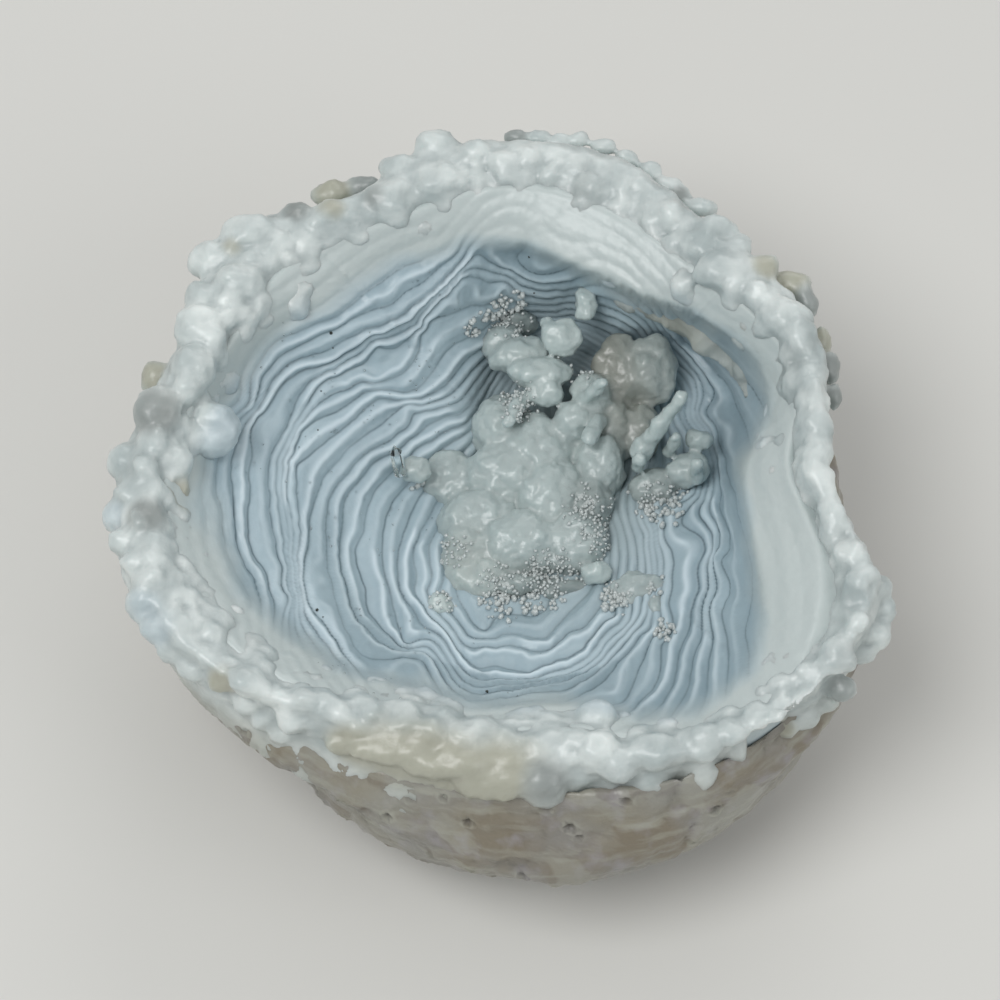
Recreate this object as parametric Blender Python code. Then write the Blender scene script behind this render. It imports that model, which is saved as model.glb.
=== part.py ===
"""Half a geode of blue chalcedony, as one solid in metres with +Z up.

The stone is a thick, lumpy bowl that rests on a small flat spot. The frame's
origin is the middle of that spot. Inside, the banded wall steps down in
terraces to a floor that lies towards the back right. Rounded masses, knobs,
thin fingers and one quartz crystal grow there, joined to the bowl.
"""
import math
from dataclasses import dataclass

import bmesh
import bpy
from mathutils import Vector, noise

MM = 0.001

# Driving dimensions in millimetres. Each outline lists radii at even angles
# round its own centre, starting at +X and going counter-clockwise from above.
REST_RADIUS = 15.0
RIM_CENTRE = (-1.0, 4.0)
RIM_RADII = (41, 44, 42, 43, 45.5, 46, 43.5, 46.5, 45, 47.5, 52, 51, 47.5, 44, 44.5, 50, 56.5, 50)
RIM_HEIGHTS = (42, 43, 43, 42, 42, 42, 41, 41, 41, 40, 39.5, 38, 37, 36, 36, 36.5, 38, 41)
RIM_ROUNDING = 3.5
NECK_CENTRE = (0.0, 4.0)
NECK_RADII = (39.5, 40, 40, 42, 42, 43, 45.5, 47, 46, 45.5, 49, 49)
NECK_HEIGHT = 26.0
BELLY_CENTRE = (3.5, 3.0)
BELLY_RADII = (39, 40, 40, 40, 40, 41, 43, 42.5, 45, 47.5, 46.5, 43)
BELLY_HEIGHT = 17.5
UNDERSIDE_CENTRE = (2.0, 3.0)
UNDERSIDE_RADII = (32, 32, 31, 30, 31, 33, 35, 36, 39, 41, 40, 36)
UNDERSIDE_HEIGHT = 8.0
MOUTH_CENTRE = (-3.0, 1.0)
MOUTH_RADII = (33.5, 38, 36.5, 33.5, 33.5, 34.5, 34, 35, 35.5, 35, 35, 32.5, 30, 29, 31, 37, 41.5, 37)
MOUTH_HEIGHTS = (35, 36, 36, 36, 36, 36, 35, 34, 33, 33, 33, 32, 32, 32, 32, 33, 34, 35)
MOUTH_SLOPE = 4.0       # width and height of the plain slope between rim and mouth
WAIST_CENTRE = (1.0, 7.0)
WAIST_RADII = (25, 29, 31, 30, 25, 23, 24, 24.5, 23, 22, 24, 25)
WAIST_HEIGHT = 23.0
FLOOR_CENTRE = (5.0, 13.0)
FLOOR_RADII = (13, 20, 22, 21, 17, 13, 15, 17, 17, 15, 11, 9)
FLOOR_EDGE_HEIGHT = 13.0
FLOOR_HEIGHT = 10.0
FLOOR_SHARES = (0.66, 0.33)

TERRACES = 8            # steps between the mouth and the floor
RISER_WIDTH = 0.2       # share of a step's width that is its steep riser
RISER_HEIGHT = 0.9      # share of a step's height that the riser takes
RIM_LUMP = 2.2          # how far the rim's lumps stand out
RIND_LUMP = 1.2         # how far the outer wall's lumps stand out
LUMP_SIZE = 11.0        # distance between those lumps
MASS_LUMP = 1.6         # how uneven the masses on the floor are
MASS_LUMP_SIZE = 5.0    # distance between the lumps on them

ANGLES = 72             # points round every ring
OUTER_STEPS = (1, 2, 3, 3, 3, 3, 3, 2)
STONE_COLOUR = (0.50, 0.56, 0.57, 1.0)
STONE_ROUGHNESS = 0.38


@dataclass(frozen=True)
class Level:
    """One closed outline of the stone's skin, in millimetres."""

    centre: tuple
    radii: tuple
    heights: tuple
    lump: float = 0.0

    def at(self, angle):
        """Centre, radius, height and lump size in one direction."""
        return (*self.centre, around(self.radii, angle), around(self.heights, angle), self.lump)


@dataclass(frozen=True)
class Mass:
    """A rounded mass of chalcedony: an uneven ellipsoid, in millimetres."""

    centre: tuple
    radii: tuple
    detail: int = 2


@dataclass(frozen=True)
class Finger:
    """A tapering finger or crystal from root to tip, in millimetres."""

    root: tuple
    tip: tuple
    root_radius: float
    tip_radius: float
    sides: int = 10


def blend(a, b, c, d, share):
    """Catmull-Rom curve from b to c, with a and d as its outer neighbours."""
    bend = 2 * a - 5 * b + 4 * c - d + share * (3 * (b - c) + d - a)
    return b + 0.5 * share * (c - a + share * bend)


def around(values, angle):
    """Smooth closed curve through evenly spaced values, read at an angle."""
    place = (angle / math.tau % 1.0) * len(values)
    first = int(place)
    return blend(*(values[(first + step) % len(values)] for step in (-1, 0, 1, 2)), place - first)


def grown(values, by):
    """The same outline values, each larger by one amount."""
    return tuple(value + by for value in values)


def turns(count):
    """Evenly spaced angles of one full turn."""
    return [math.tau * step / count for step in range(count)]


def outer_levels():
    """The skin from the flat spot up the outer wall to the rim and the mouth."""
    return [
        Level((0.0, 0.0), (REST_RADIUS,), (0.0,)),
        Level((0.0, 0.0), (REST_RADIUS + 5,), (1.3,)),
        Level(UNDERSIDE_CENTRE, UNDERSIDE_RADII, (UNDERSIDE_HEIGHT,), RIND_LUMP),
        Level(BELLY_CENTRE, BELLY_RADII, (BELLY_HEIGHT,), RIND_LUMP),
        Level(NECK_CENTRE, NECK_RADII, (NECK_HEIGHT,), RIND_LUMP),
        Level(RIM_CENTRE, RIM_RADII, grown(RIM_HEIGHTS, -6), RIM_LUMP),
        Level(RIM_CENTRE, grown(RIM_RADII, -RIM_ROUNDING), RIM_HEIGHTS, RIM_LUMP),
        Level(MOUTH_CENTRE, grown(MOUTH_RADII, MOUTH_SLOPE), grown(MOUTH_HEIGHTS, MOUTH_SLOPE), RIM_LUMP),
        Level(MOUTH_CENTRE, MOUTH_RADII, MOUTH_HEIGHTS),
    ]


def inner_levels():
    """The skin from the mouth down the banded wall to the floor's edge."""
    return [
        Level(MOUTH_CENTRE, MOUTH_RADII, MOUTH_HEIGHTS),
        Level(WAIST_CENTRE, WAIST_RADII, (WAIST_HEIGHT,)),
        Level(FLOOR_CENTRE, FLOOR_RADII, (FLOOR_EDGE_HEIGHT,)),
    ]


def read_levels(levels, place, angle):
    """Centre, radius, height and lump size at a place between the levels."""
    first = min(int(place), len(levels) - 2)
    last = len(levels) - 1
    rows = [levels[min(max(first + step, 0), last)].at(angle) for step in (-1, 0, 1, 2)]
    return [blend(*column, place - first) for column in zip(*rows)]


def skin_point(levels, place, rise, angle):
    """Point of a skin, whose height may be read at another place than its outline."""
    x, y, radius, _, lump = read_levels(levels, place, angle)
    height = read_levels(levels, rise, angle)[3]
    point = Vector((x + radius * math.cos(angle), y + radius * math.sin(angle), height))
    return lumped(point, angle, lump) if lump > 0 else point


def lumped(point, angle, size):
    """Push a point outwards by the round lumps of a botryoidal skin."""
    near = noise.voronoi(point / LUMP_SIZE)[0][0]
    push = size * (1.0 - min(1.0, near / 0.7) ** 2)
    return point + Vector((math.cos(angle), math.sin(angle), 0.25)) * push


def outer_rings():
    """Rings of points from the flat spot to just before the mouth."""
    levels = outer_levels()
    places = [first + part / count for first, count in enumerate(OUTER_STEPS) for part in range(count)]
    return [[skin_point(levels, place, place, angle) for angle in turns(ANGLES)] for place in places]


def inner_rings():
    """Rings of points from the mouth to the floor, in terraces."""
    levels = inner_levels()
    stairs = [(0.0, 0.0)]
    for step in range(TERRACES):
        stairs.append((step + RISER_WIDTH, step + RISER_HEIGHT))
        stairs.append((step + 1, step + 1))
    scale = (len(levels) - 1) / TERRACES
    rings = [[skin_point(levels, place * scale, rise * scale, angle) for angle in turns(ANGLES)]
             for place, rise in stairs]
    edge = rings[-1]
    for share in FLOOR_SHARES:
        dip = FLOOR_HEIGHT + (FLOOR_EDGE_HEIGHT - FLOOR_HEIGHT) * share ** 2
        centre = Vector((*FLOOR_CENTRE, dip))
        rings.append([centre + Vector((*(point.xy - centre.xy), 0)) * share for point in edge])
    return rings


def join_rings(shape, rings):
    """Join rings of a bmesh's points by quads, one ring to the next."""
    count = len(rings[0])
    for lower, upper in zip(rings, rings[1:]):
        for step in range(count):
            after = (step + 1) % count
            shape.faces.new((lower[step], lower[after], upper[after], upper[step]))


def join_to_tip(shape, ring, tip):
    """Close a ring of a bmesh's points to one point."""
    for step, point in enumerate(ring):
        shape.faces.new((point, ring[(step + 1) % len(ring)], tip))


def finished(shape, name):
    """Write a bmesh to a new smooth mesh with its faces pointing out."""
    bmesh.ops.recalc_face_normals(shape, faces=shape.faces)
    mesh = bpy.data.meshes.new(name)
    shape.to_mesh(mesh)
    shape.free()
    mesh.shade_smooth()
    mesh.set_sharp_from_angle(angle=math.radians(50))
    return mesh


def bowl_mesh():
    """The closed skin of the bowl, flat underneath and pointed inwards at the floor."""
    shape = bmesh.new()
    rings = [[shape.verts.new(point * MM) for point in ring] for ring in outer_rings() + inner_rings()]
    join_rings(shape, rings)
    shape.faces.new(reversed(rings[0]))
    join_to_tip(shape, rings[-1], shape.verts.new(Vector((*FLOOR_CENTRE, FLOOR_HEIGHT)) * MM))
    bmesh.ops.triangulate(shape, faces=[face for face in shape.faces if len(face.verts) == 4])
    return finished(shape, "bowl")


def mass_mesh(mass):
    """An uneven ellipsoid of triangles, placed."""
    shape = bmesh.new()
    bmesh.ops.create_icosphere(shape, subdivisions=mass.detail, radius=1.0)
    for vert in shape.verts:
        point = Vector(c + r * v for c, r, v in zip(mass.centre, mass.radii, vert.co))
        near = noise.voronoi(point / MASS_LUMP_SIZE)[0][0]
        vert.co = (point + vert.co * MASS_LUMP * (0.4 - near)) * MM
    return finished(shape, "mass")


def finger_mesh(finger):
    """A tapering finger with a blunt point, placed from root to tip."""
    root = Vector(finger.root) * MM
    tip = Vector(finger.tip) * MM
    way = tip - root
    side = way.orthogonal().normalized()
    across = way.normalized().cross(side)
    shape = bmesh.new()
    rings = []
    widths = ((0.0, finger.root_radius), (0.55, finger.tip_radius * 1.1), (0.88, finger.tip_radius))
    for share, radius in widths:
        middle = root + way * share
        spokes = [side * math.cos(turn) + across * math.sin(turn) for turn in turns(finger.sides)]
        rings.append([shape.verts.new(middle + spoke * radius * MM) for spoke in spokes])
    join_rings(shape, rings)
    join_to_tip(shape, rings[-1], shape.verts.new(tip))
    shape.faces.new(reversed(rings[0]))
    return finished(shape, "finger")


def growths():
    """Everything that grows on the floor and the back wall of the bowl."""
    masses = [
        Mass((1.5, 10.0, 11.0), (11.0, 13.0, 7.5), 3),
        Mass((4.0, 26.0, 15.0), (11.0, 8.0, 9.0), 3),
        Mass((9.7, 31.5, 27.0), (2.2, 3.5, 3.0)),
        Mass((6.5, 28.5, 25.0), (2.8, 3.0, 3.4)),
        Mass((4.0, 22.5, 22.5), (4.2, 3.4, 3.6)),
        Mass((10.3, 18.5, 20.0), (3.2, 3.4, 4.8)),
        Mass((-2.3, 19.0, 18.0), (4.4, 4.6, 5.2)),
        Mass((-3.5, -0.5, 11.0), (6.5, 5.5, 5.0)),
        Mass((11.0, -1.0, 11.0), (6.0, 5.0, 4.5)),
        Mass((20.0, 12.0, 15.0), (5.0, 4.5, 5.5)),
        Mass((16.0, 4.5, 12.0), (3.2, 7.5, 6.0)),
        Mass((-8.8, -4.5, 14.0), (1.9, 1.9, 2.2)),
    ]
    fingers = [
        Finger((16.0, 14.0, 14.0), (21.6, 18.7, 27.0), 2.4, 1.1),
        Finger((15.5, 12.0, 14.0), (16.5, 12.5, 22.5), 1.8, 0.9),
        Finger((20.5, 14.5, 15.0), (21.0, 16.0, 23.0), 1.6, 0.8),
        Finger((23.0, 11.0, 15.0), (23.5, 12.0, 22.5), 1.6, 0.8),
        Finger((-13.2, 13.0, 14.5), (-14.2, 14.5, 21.0), 1.0, 0.85, sides=6),
    ]
    return [mass_mesh(mass) for mass in masses] + [finger_mesh(finger) for finger in fingers]


def stone_material():
    """Pale blue-grey waxy stone."""
    material = bpy.data.materials.new("chalcedony")
    material.use_nodes = True
    shader = material.node_tree.nodes["Principled BSDF"]
    shader.inputs["Base Color"].default_value = STONE_COLOUR
    shader.inputs["Roughness"].default_value = STONE_ROUGHNESS
    shader.inputs["Metallic"].default_value = 0.0
    return material


def main():
    """Build the geode: the bowl with everything on its floor joined to it."""
    for thing in list(bpy.data.objects):
        bpy.data.objects.remove(thing)
    scene = bpy.context.scene
    geode = bpy.data.objects.new("geode", bowl_mesh())
    geode.data.materials.append(stone_material())
    scene.collection.objects.link(geode)
    grown_on = bpy.data.collections.new("growths")
    scene.collection.children.link(grown_on)
    for number, mesh in enumerate(growths()):
        growth = bpy.data.objects.new(f"growth_{number:02d}", mesh)
        growth.hide_render = True
        growth.display_type = "WIRE"
        grown_on.objects.link(growth)
    join = geode.modifiers.new("grown together", "BOOLEAN")
    join.operation = "UNION"
    join.operand_type = "COLLECTION"
    join.collection = grown_on


main()
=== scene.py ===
"""Half a geode of blue chalcedony, open side up: white lumpy rim, blue terraces, growths and quartz.

Sizes in the classes are millimetres, and meshes are turned into metres when they are finished. Places that
were read from the photograph are pixels of its 1000 by 1000 frame, turned into places by PhotoView.
"""
import logging
import math
from dataclasses import dataclass, field
from enum import Enum
from typing import Iterable, Sequence

import bmesh
import bpy
import numpy as np
from mathutils import Matrix, Vector
from mathutils.bvhtree import BVHTree


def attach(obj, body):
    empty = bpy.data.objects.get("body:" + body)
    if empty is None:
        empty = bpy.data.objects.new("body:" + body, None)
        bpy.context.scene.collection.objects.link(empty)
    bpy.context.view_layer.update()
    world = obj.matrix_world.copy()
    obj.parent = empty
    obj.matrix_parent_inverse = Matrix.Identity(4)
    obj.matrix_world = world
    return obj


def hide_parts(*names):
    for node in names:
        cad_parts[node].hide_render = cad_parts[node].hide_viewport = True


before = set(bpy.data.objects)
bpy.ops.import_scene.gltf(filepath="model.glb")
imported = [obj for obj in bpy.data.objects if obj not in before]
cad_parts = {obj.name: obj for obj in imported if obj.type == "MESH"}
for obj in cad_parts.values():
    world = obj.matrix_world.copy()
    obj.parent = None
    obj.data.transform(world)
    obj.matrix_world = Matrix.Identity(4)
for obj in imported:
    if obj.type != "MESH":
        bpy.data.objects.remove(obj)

Array = np.ndarray
Triple = tuple[float, float, float]
Spots = tuple[Triple, ...]
Steps = tuple[float, ...]
Layers = tuple[tuple[float, float, int], ...]

LOG = logging.getLogger("geode")
MM = 0.001
CAD_NODE = "geode"
BODY = "root"
PHOTO_SIDE = 1000
QUARTZ_IOR = 1.54
CRYSTAL_SIDES = 6
# The middle of the bowl in the photograph, in pixels, and the middle of the rim seen from above.
BOWL_CENTRE = (540.0, 470.0)
RIM_CENTRE = (-1.0, 4.0)
# The outer wall from above at three heights: its middle, and its radii every 30 degrees from the right,
# turning counter-clockwise. The last radius is that of the flat spot.
NECK_CENTRE = (0.0, 4.0)
NECK_RADII = (39.5, 40, 40, 42, 42, 43, 45.5, 47, 46, 45.5, 49, 49)
NECK_HEIGHT = 26.0
BELLY_CENTRE = (3.5, 3.0)
BELLY_RADII = (39, 40, 40, 40, 40, 41, 43, 42.5, 45, 47.5, 46.5, 43)
BELLY_HEIGHT = 17.5
UNDERSIDE_CENTRE = (2.0, 3.0)
UNDERSIDE_RADII = (32, 32, 31, 30, 31, 33, 35, 36, 39, 41, 40, 36)
UNDERSIDE_HEIGHT = 8.0
REST_RADIUS = 15.0
# The outlines and heights that the lining's hidden back follows, and where it closes under the bowl.
BACKING = ((NECK_CENTRE, NECK_RADII, 26.0), (BELLY_CENTRE, BELLY_RADII, 16.0),
           (UNDERSIDE_CENTRE, UNDERSIDE_RADII, 8.5))
HIDDEN_MIDDLE = (*NECK_CENTRE, 5.0)
# The bowl's mouth and the rim's crest, in pixels from BOWL_CENTRE every 20 degrees from the right, turning
# up, and their heights.
MOUTH_PIXELS = (205, 243, 225, 200, 208, 235, 250, 270, 312, 340, 325, 292, 250, 240, 238, 285, 285, 228)
MOUTH_HEIGHTS = (35, 36, 36, 36, 36, 36, 35, 34, 33, 33, 33, 32, 32, 32, 32, 33, 34, 35)
CREST_PIXELS = (275, 292, 285, 288, 310, 318, 315, 355, 355, 395, 400, 350, 292, 278, 282, 322, 350, 345)
RIM_HEIGHTS = (42, 43, 43, 42, 42, 42, 41, 41, 41, 40, 39.5, 38, 37, 36, 36, 36.5, 38, 41)
# The outermost line of the white crust, every 10 degrees, and how far it lies under the crest, every 20.
EDGE_PIXELS = (294, 293, 314, 317, 311, 306, 309, 321, 333, 335, 341, 350, 339, 348, 392, 397, 391, 404,
               429, 438, 434, 414, 382, 362, 358, 352, 346, 342, 342, 348, 352, 352, 368, 374, 371, 322)
EDGE_DROPS = (2.5, 2, 2, 2, 2, 2, 2, 2.5, 3, 3.5, 4, 5, 6, 7, 7.5, 7.5, 6.5, 4)
# Large numbers that scramble a place and a seed into a random number.
HASH_FACTORS = (374761393, 668265263, 1440670441)
HASH_SEED = 974634777
HASH_STIR = 1274126177
HASH_BITS = 0xFFFFFFFF
HASH_RANGE = 0xFFFF
# How far each finer octave of hills is moved aside, and how many times finer it is.
OCTAVE_SHIFT = 17.3
OCTAVE_SHRINK = 2.1
# What is added to a pattern's seed for its cells' own numbers.
CELL_NUMBER_SEED = 7


def srgb(red: float, green: float, blue: float) -> tuple[float, float, float, float]:
    """Turns a screen colour of 0 to 255 into the linear colour that a shader takes.

    Args:
        red: the screen's red.
        green: its green.
        blue: its blue.

    Returns:
        The linear colour with a full alpha.
    """
    def linear(value: float) -> float:
        """Turns one channel into its linear share."""
        share = value / 255
        return share / 12.92 if share <= 0.04045 else ((share + 0.055) / 1.055) ** 2.4

    return linear(red), linear(green), linear(blue), 1.0


def smooth_step(before: Array, here: Array, after: Array, last: Array,
                t: Array | float) -> Array:
    """Reads the smooth curve that runs through four neighbours, between the middle two.

    Args:
        before: the neighbour before here.
        here: where the stretch begins.
        after: where it ends.
        last: the neighbour past after.
        t: how far along it, 0 to 1.

    Returns:
        The curve there.
    """
    return 0.5 * (
        2 * here
        + (after - before) * t
        + (2 * before - 5 * here + 4 * after - last) * t**2
        + (3 * here - before - 3 * after + last) * t**3
    )


def around(values: Sequence[float], angles: Array) -> Array:
    """Reads a smooth closed curve that passes through values at even angles.

    Args:
        values: what the curve passes through, the first at the right, turning counter-clockwise.
        angles: where to read it, in radians.

    Returns:
        The curve at those angles.
    """
    knots = np.asarray(values, float)
    count = len(knots)
    place = (np.asarray(angles) / (2 * math.pi) * count) % count
    first = np.floor(place).astype(int)
    before, here, after, last = (knots[(first + step) % count] for step in (-1, 0, 1, 2))
    return smooth_step(before, here, after, last, place - first)


def level_ring(centre: tuple[float, float], turns: Array, radii: Array | float,
               height: float) -> Array:
    """Places points round a centre, all at one height.

    Args:
        centre: the middle, seen from above.
        turns: the points' angles about it, in radians.
        radii: their distances from it.
        height: their height.

    Returns:
        The points, one row each.
    """
    x, y = centre[0] + radii * np.cos(turns), centre[1] + radii * np.sin(turns)
    return np.column_stack([x, y, np.full(len(turns), height)])


def lattice(cells: Array, seed: int) -> Array:
    """Gives each whole-numbered place a fixed random number.

    Args:
        cells: whole numbers, the last axis of length three.
        seed: another seed gives other numbers.

    Returns:
        A number from 0 to 1 for each place.
    """
    mixed = sum(cells[..., axis] * factor for axis, factor in enumerate(HASH_FACTORS))
    mixed = (mixed + seed * HASH_SEED) & HASH_BITS
    mixed = ((mixed ^ (mixed >> 13)) * HASH_STIR) & HASH_BITS
    return ((mixed ^ (mixed >> 16)) & HASH_RANGE) / HASH_RANGE


def wander(points: Array, size: float, seed: int, octaves: int = 1) -> Array:
    """Reads smooth random hills at some points.

    Args:
        points: where to read them, one row of two or three numbers each.
        size: how far apart the hills lie, in the unit of the points.
        seed: another seed gives other hills.
        octaves: how many times finer hills of half the height are added.

    Returns:
        Heights of about -1 to 1.
    """
    flat = np.asarray(points, float)
    if flat.shape[1] == 2:
        flat = np.column_stack([flat, np.zeros(len(flat))])
    total = np.zeros(len(flat))
    share, reach = 1.0, size
    for octave in range(octaves):
        place = flat / reach + OCTAVE_SHIFT * (octave + 1)
        cell = np.floor(place).astype(np.int64)
        part = place - cell
        ease = part * part * (3 - 2 * part)
        value = np.zeros(len(flat))
        for corner in np.ndindex(2, 2, 2):
            step = np.array(corner)
            weight = np.prod(np.where(step == 1, ease, 1 - ease), axis=1)
            value += weight * lattice(cell + step, seed + octave)
        total += share * (2 * value - 1)
        share /= 2
        reach /= OCTAVE_SHRINK
    return total


def hills(points: Array, layers: Layers) -> Array:
    """Adds up smooth random hills of several sizes.

    Args:
        points: where to read them, one row each.
        layers: the height, the size and the seed of each size of hill.

    Returns:
        Their heights together.
    """
    return sum(height * wander(points, size, seed) for height, size, seed in layers)


def cobbled(points: Array, size: float, seed: int) -> tuple[Array, Array]:
    """Reads a pattern of packed round cells at some points.

    Args:
        points: where to read it, one row of three numbers each.
        size: how wide a cell is.
        seed: another seed gives other cells.

    Returns:
        The distance to the nearest cell's middle in cell widths, and that cell's own number, 0 to 1.
    """
    place = np.asarray(points, float) / size
    cell = np.floor(place).astype(np.int64)
    nearest = np.full(len(place), np.inf)
    number = np.zeros(len(place))
    for step in np.ndindex(3, 3, 3):
        here = cell + np.array(step) - 1
        middle = here + np.column_stack([lattice(here, seed + axis) for axis in range(3)])
        gap = np.linalg.norm(place - middle, axis=1)
        closer = gap < nearest
        nearest = np.where(closer, gap, nearest)
        number = np.where(closer, lattice(here, seed + CELL_NUMBER_SEED), number)
    return nearest, number


@dataclass
class Shape:
    """Points and faces that are still being worked on, in millimetres. Faces point outwards."""

    points: Array
    faces: list[tuple[int, ...]]

    def joined(self, others: Iterable["Shape"]) -> "Shape":
        """Puts this shape and others into one list of points and faces.

        Args:
            others: the shapes to add.

        Returns:
            The shape that holds them all.
        """
        points, faces = [self.points], list(self.faces)
        count = len(self.points)
        for other in others:
            faces.extend(tuple(corner + count for corner in face) for face in other.faces)
            points.append(other.points)
            count += len(other.points)
        return Shape(np.vstack(points), faces)

    def mesh(self, name: str) -> bpy.types.Mesh:
        """Makes a Blender mesh of the shape, still in millimetres.

        Args:
            name: the mesh's name.

        Returns:
            The mesh.
        """
        made = bpy.data.meshes.new(name)
        made.from_pydata(self.points.tolist(), [], self.faces)
        made.update()
        return made


def read_shape(mesh: bpy.types.Mesh) -> Shape:
    """Copies a mesh into a shape.

    Args:
        mesh: the mesh, in millimetres.

    Returns:
        Its points and faces.
    """
    points = np.empty(len(mesh.vertices) * 3)
    mesh.vertices.foreach_get("co", points)
    return Shape(points.reshape(-1, 3), [tuple(face.vertices) for face in mesh.polygons])


def evaluated(thing: bpy.types.Object) -> bpy.types.Mesh:
    """Gives an object's mesh with its modifiers applied."""
    graph = bpy.context.evaluated_depsgraph_get()
    return bpy.data.meshes.new_from_object(thing.evaluated_get(graph))


def temporary(name: str, mesh: bpy.types.Mesh) -> bpy.types.Object:
    """Links an object that only helps to make a piece and is removed again.

    Args:
        name: its name meanwhile.
        mesh: its mesh.

    Returns:
        The object.
    """
    thing = bpy.data.objects.new(name, mesh)
    bpy.context.scene.collection.objects.link(thing)
    return thing


def fused(shape: Shape, grain: float) -> Shape:
    """Wraps overlapping closed shapes in one closed skin.

    Args:
        shape: the overlapping shapes.
        grain: the size of the new skin's cells.

    Returns:
        The skin.
    """
    thing = temporary("being_fused", shape.mesh("being_fused"))
    skin = thing.modifiers.new("skin", "REMESH")
    skin.mode = "VOXEL"
    skin.voxel_size = grain
    mesh = evaluated(thing)
    bpy.data.objects.remove(thing)
    return read_shape(mesh)


def carry(mesh: bpy.types.Mesh, label: str, values: Array) -> None:
    """Stores a number for each point of a mesh, for its finish or for the scatter to read."""
    stored = mesh.attributes.new(label, "FLOAT", "POINT")
    stored.data.foreach_set("value", np.asarray(values, np.float32))


def normals_of(shape: Shape) -> Array:
    """Gives each point's outward direction.

    Args:
        shape: a shape whose faces point outwards.

    Returns:
        One direction of length 1 for each point.
    """
    mesh = shape.mesh("measured")
    normals = np.empty(len(mesh.vertices) * 3)
    mesh.vertex_normals.foreach_get("vector", normals)
    bpy.data.meshes.remove(mesh)
    return normals.reshape(-1, 3)


def relaxed(shape: Shape, rounds: int, share: float) -> Shape:
    """Smooths a shape by moving each point towards the middle of its neighbours.

    Args:
        shape: what to smooth.
        rounds: how many times.
        share: how far towards the middle each time.

    Returns:
        The smoothed shape.
    """
    pairs = []
    for face in shape.faces:
        pairs.extend(zip(face, face[1:] + face[:1]))
    ends = np.array(pairs)
    points = shape.points.copy()
    for _ in range(rounds):
        total = np.zeros_like(points)
        count = np.zeros(len(points))
        for here, there in ((0, 1), (1, 0)):
            np.add.at(total, ends[:, here], points[ends[:, there]])
            np.add.at(count, ends[:, here], 1)
        middle = total / np.maximum(count, 1)[:, None]
        points += share * (middle - points)
    return Shape(points, shape.faces)


@dataclass(frozen=True)
class PhotoView:
    """The photograph's view of the stone, and the way from its pixels to places on the stone."""

    aim: Triple = (-1.04, 2.1, 30.0)
    elevation: float = math.radians(60)
    distance: float = 480.0
    breadth: float = 126.0
    sensor: float = 36.0

    @property
    def eye(self) -> Array:
        """Where the camera stands."""
        back = np.array([0.0, -math.cos(self.elevation), math.sin(self.elevation)])
        return np.array(self.aim) + self.distance * back

    @property
    def up(self) -> Array:
        """The direction of the picture's upper edge."""
        return np.array([0.0, math.sin(self.elevation), math.cos(self.elevation)])

    def rays(self, x: Array, y: Array) -> Array:
        """Gives the direction in which the camera sees each pixel.

        Args:
            x: pixels from the left.
            y: pixels from the top.

        Returns:
            One direction for each pixel, from the eye to the plane through the aim.
        """
        scale = self.breadth / PHOTO_SIDE
        side = (np.asarray(x, float) - PHOTO_SIDE / 2) * scale
        rise = (PHOTO_SIDE / 2 - np.asarray(y, float)) * scale
        seen = np.array(self.aim) + side[:, None] * np.array([1.0, 0, 0]) + rise[:, None] * self.up
        return seen - self.eye

    def at_height(self, x: Array, y: Array, z: Array) -> Array:
        """Finds the places at some heights that the camera sees at some pixels.

        Args:
            x: pixels from the left.
            y: pixels from the top.
            z: the heights.

        Returns:
            The places, one row each.
        """
        rays = self.rays(np.atleast_1d(x), np.atleast_1d(y))
        reach = (np.atleast_1d(z) - self.eye[2]) / rays[:, 2]
        return self.eye + rays * reach[:, None]

    def hit(self, tree: BVHTree, x: float, y: float) -> Array | None:
        """Finds what the camera sees at a pixel.

        Args:
            tree: the surface to look at.
            x: the pixel from the left.
            y: the pixel from the top.

        Returns:
            The place, or None where the pixel misses the surface.
        """
        ray = Vector(self.rays(np.array([x]), np.array([y]))[0])
        place = tree.ray_cast(Vector(self.eye), ray)[0]
        return None if place is None else np.array(place)

    def pixels(self, points: Array) -> tuple[Array, Array]:
        """Finds the pixels at which the camera sees some points.

        Args:
            points: the places, one row each.

        Returns:
            The pixels from the left, and those from the top.
        """
        ahead = self.look_at(np.array(self.aim))
        away = points - self.eye
        reach = self.distance / (away @ ahead)
        scale = PHOTO_SIDE / self.breadth
        return (PHOTO_SIDE / 2 + away[:, 0] * reach * scale,
                PHOTO_SIDE / 2 - (away @ self.up) * reach * scale)

    def look_at(self, place: Array) -> Array:
        """Gives the direction in which the camera sees a place."""
        look = place - self.eye
        return look / np.linalg.norm(look)

    def stretched(self, sphere: Shape, look: Array, halves: Triple,
                  swell: float = 1.0) -> Array:
        """Stretches a sphere across, up and along the view.

        Args:
            sphere: a sphere of radius 1.
            look: the direction of the view where it will stand.
            halves: half its width, half its height and half its depth.
            swell: how much wider and higher than that it becomes.

        Returns:
            Its points about the origin.
        """
        wide, high, deep = halves
        across = np.array([1.0, 0, 0])
        axes = np.array([across * wide * swell, self.up * high * swell, -look * deep])
        return sphere.points @ axes

    def camera(self) -> None:
        """Sets up the camera."""
        data = bpy.data.cameras.new("camera")
        data.sensor_width = self.sensor
        data.lens = self.sensor * self.distance / self.breadth
        data.clip_start = 0.01
        thing = bpy.data.objects.new("camera", data)
        bpy.context.scene.collection.objects.link(thing)
        thing.location = Vector(self.eye) * MM
        look = Vector(self.aim) - Vector(self.eye)
        thing.rotation_euler = look.to_track_quat("-Z", "Y").to_euler()
        bpy.context.scene.camera = thing


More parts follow.
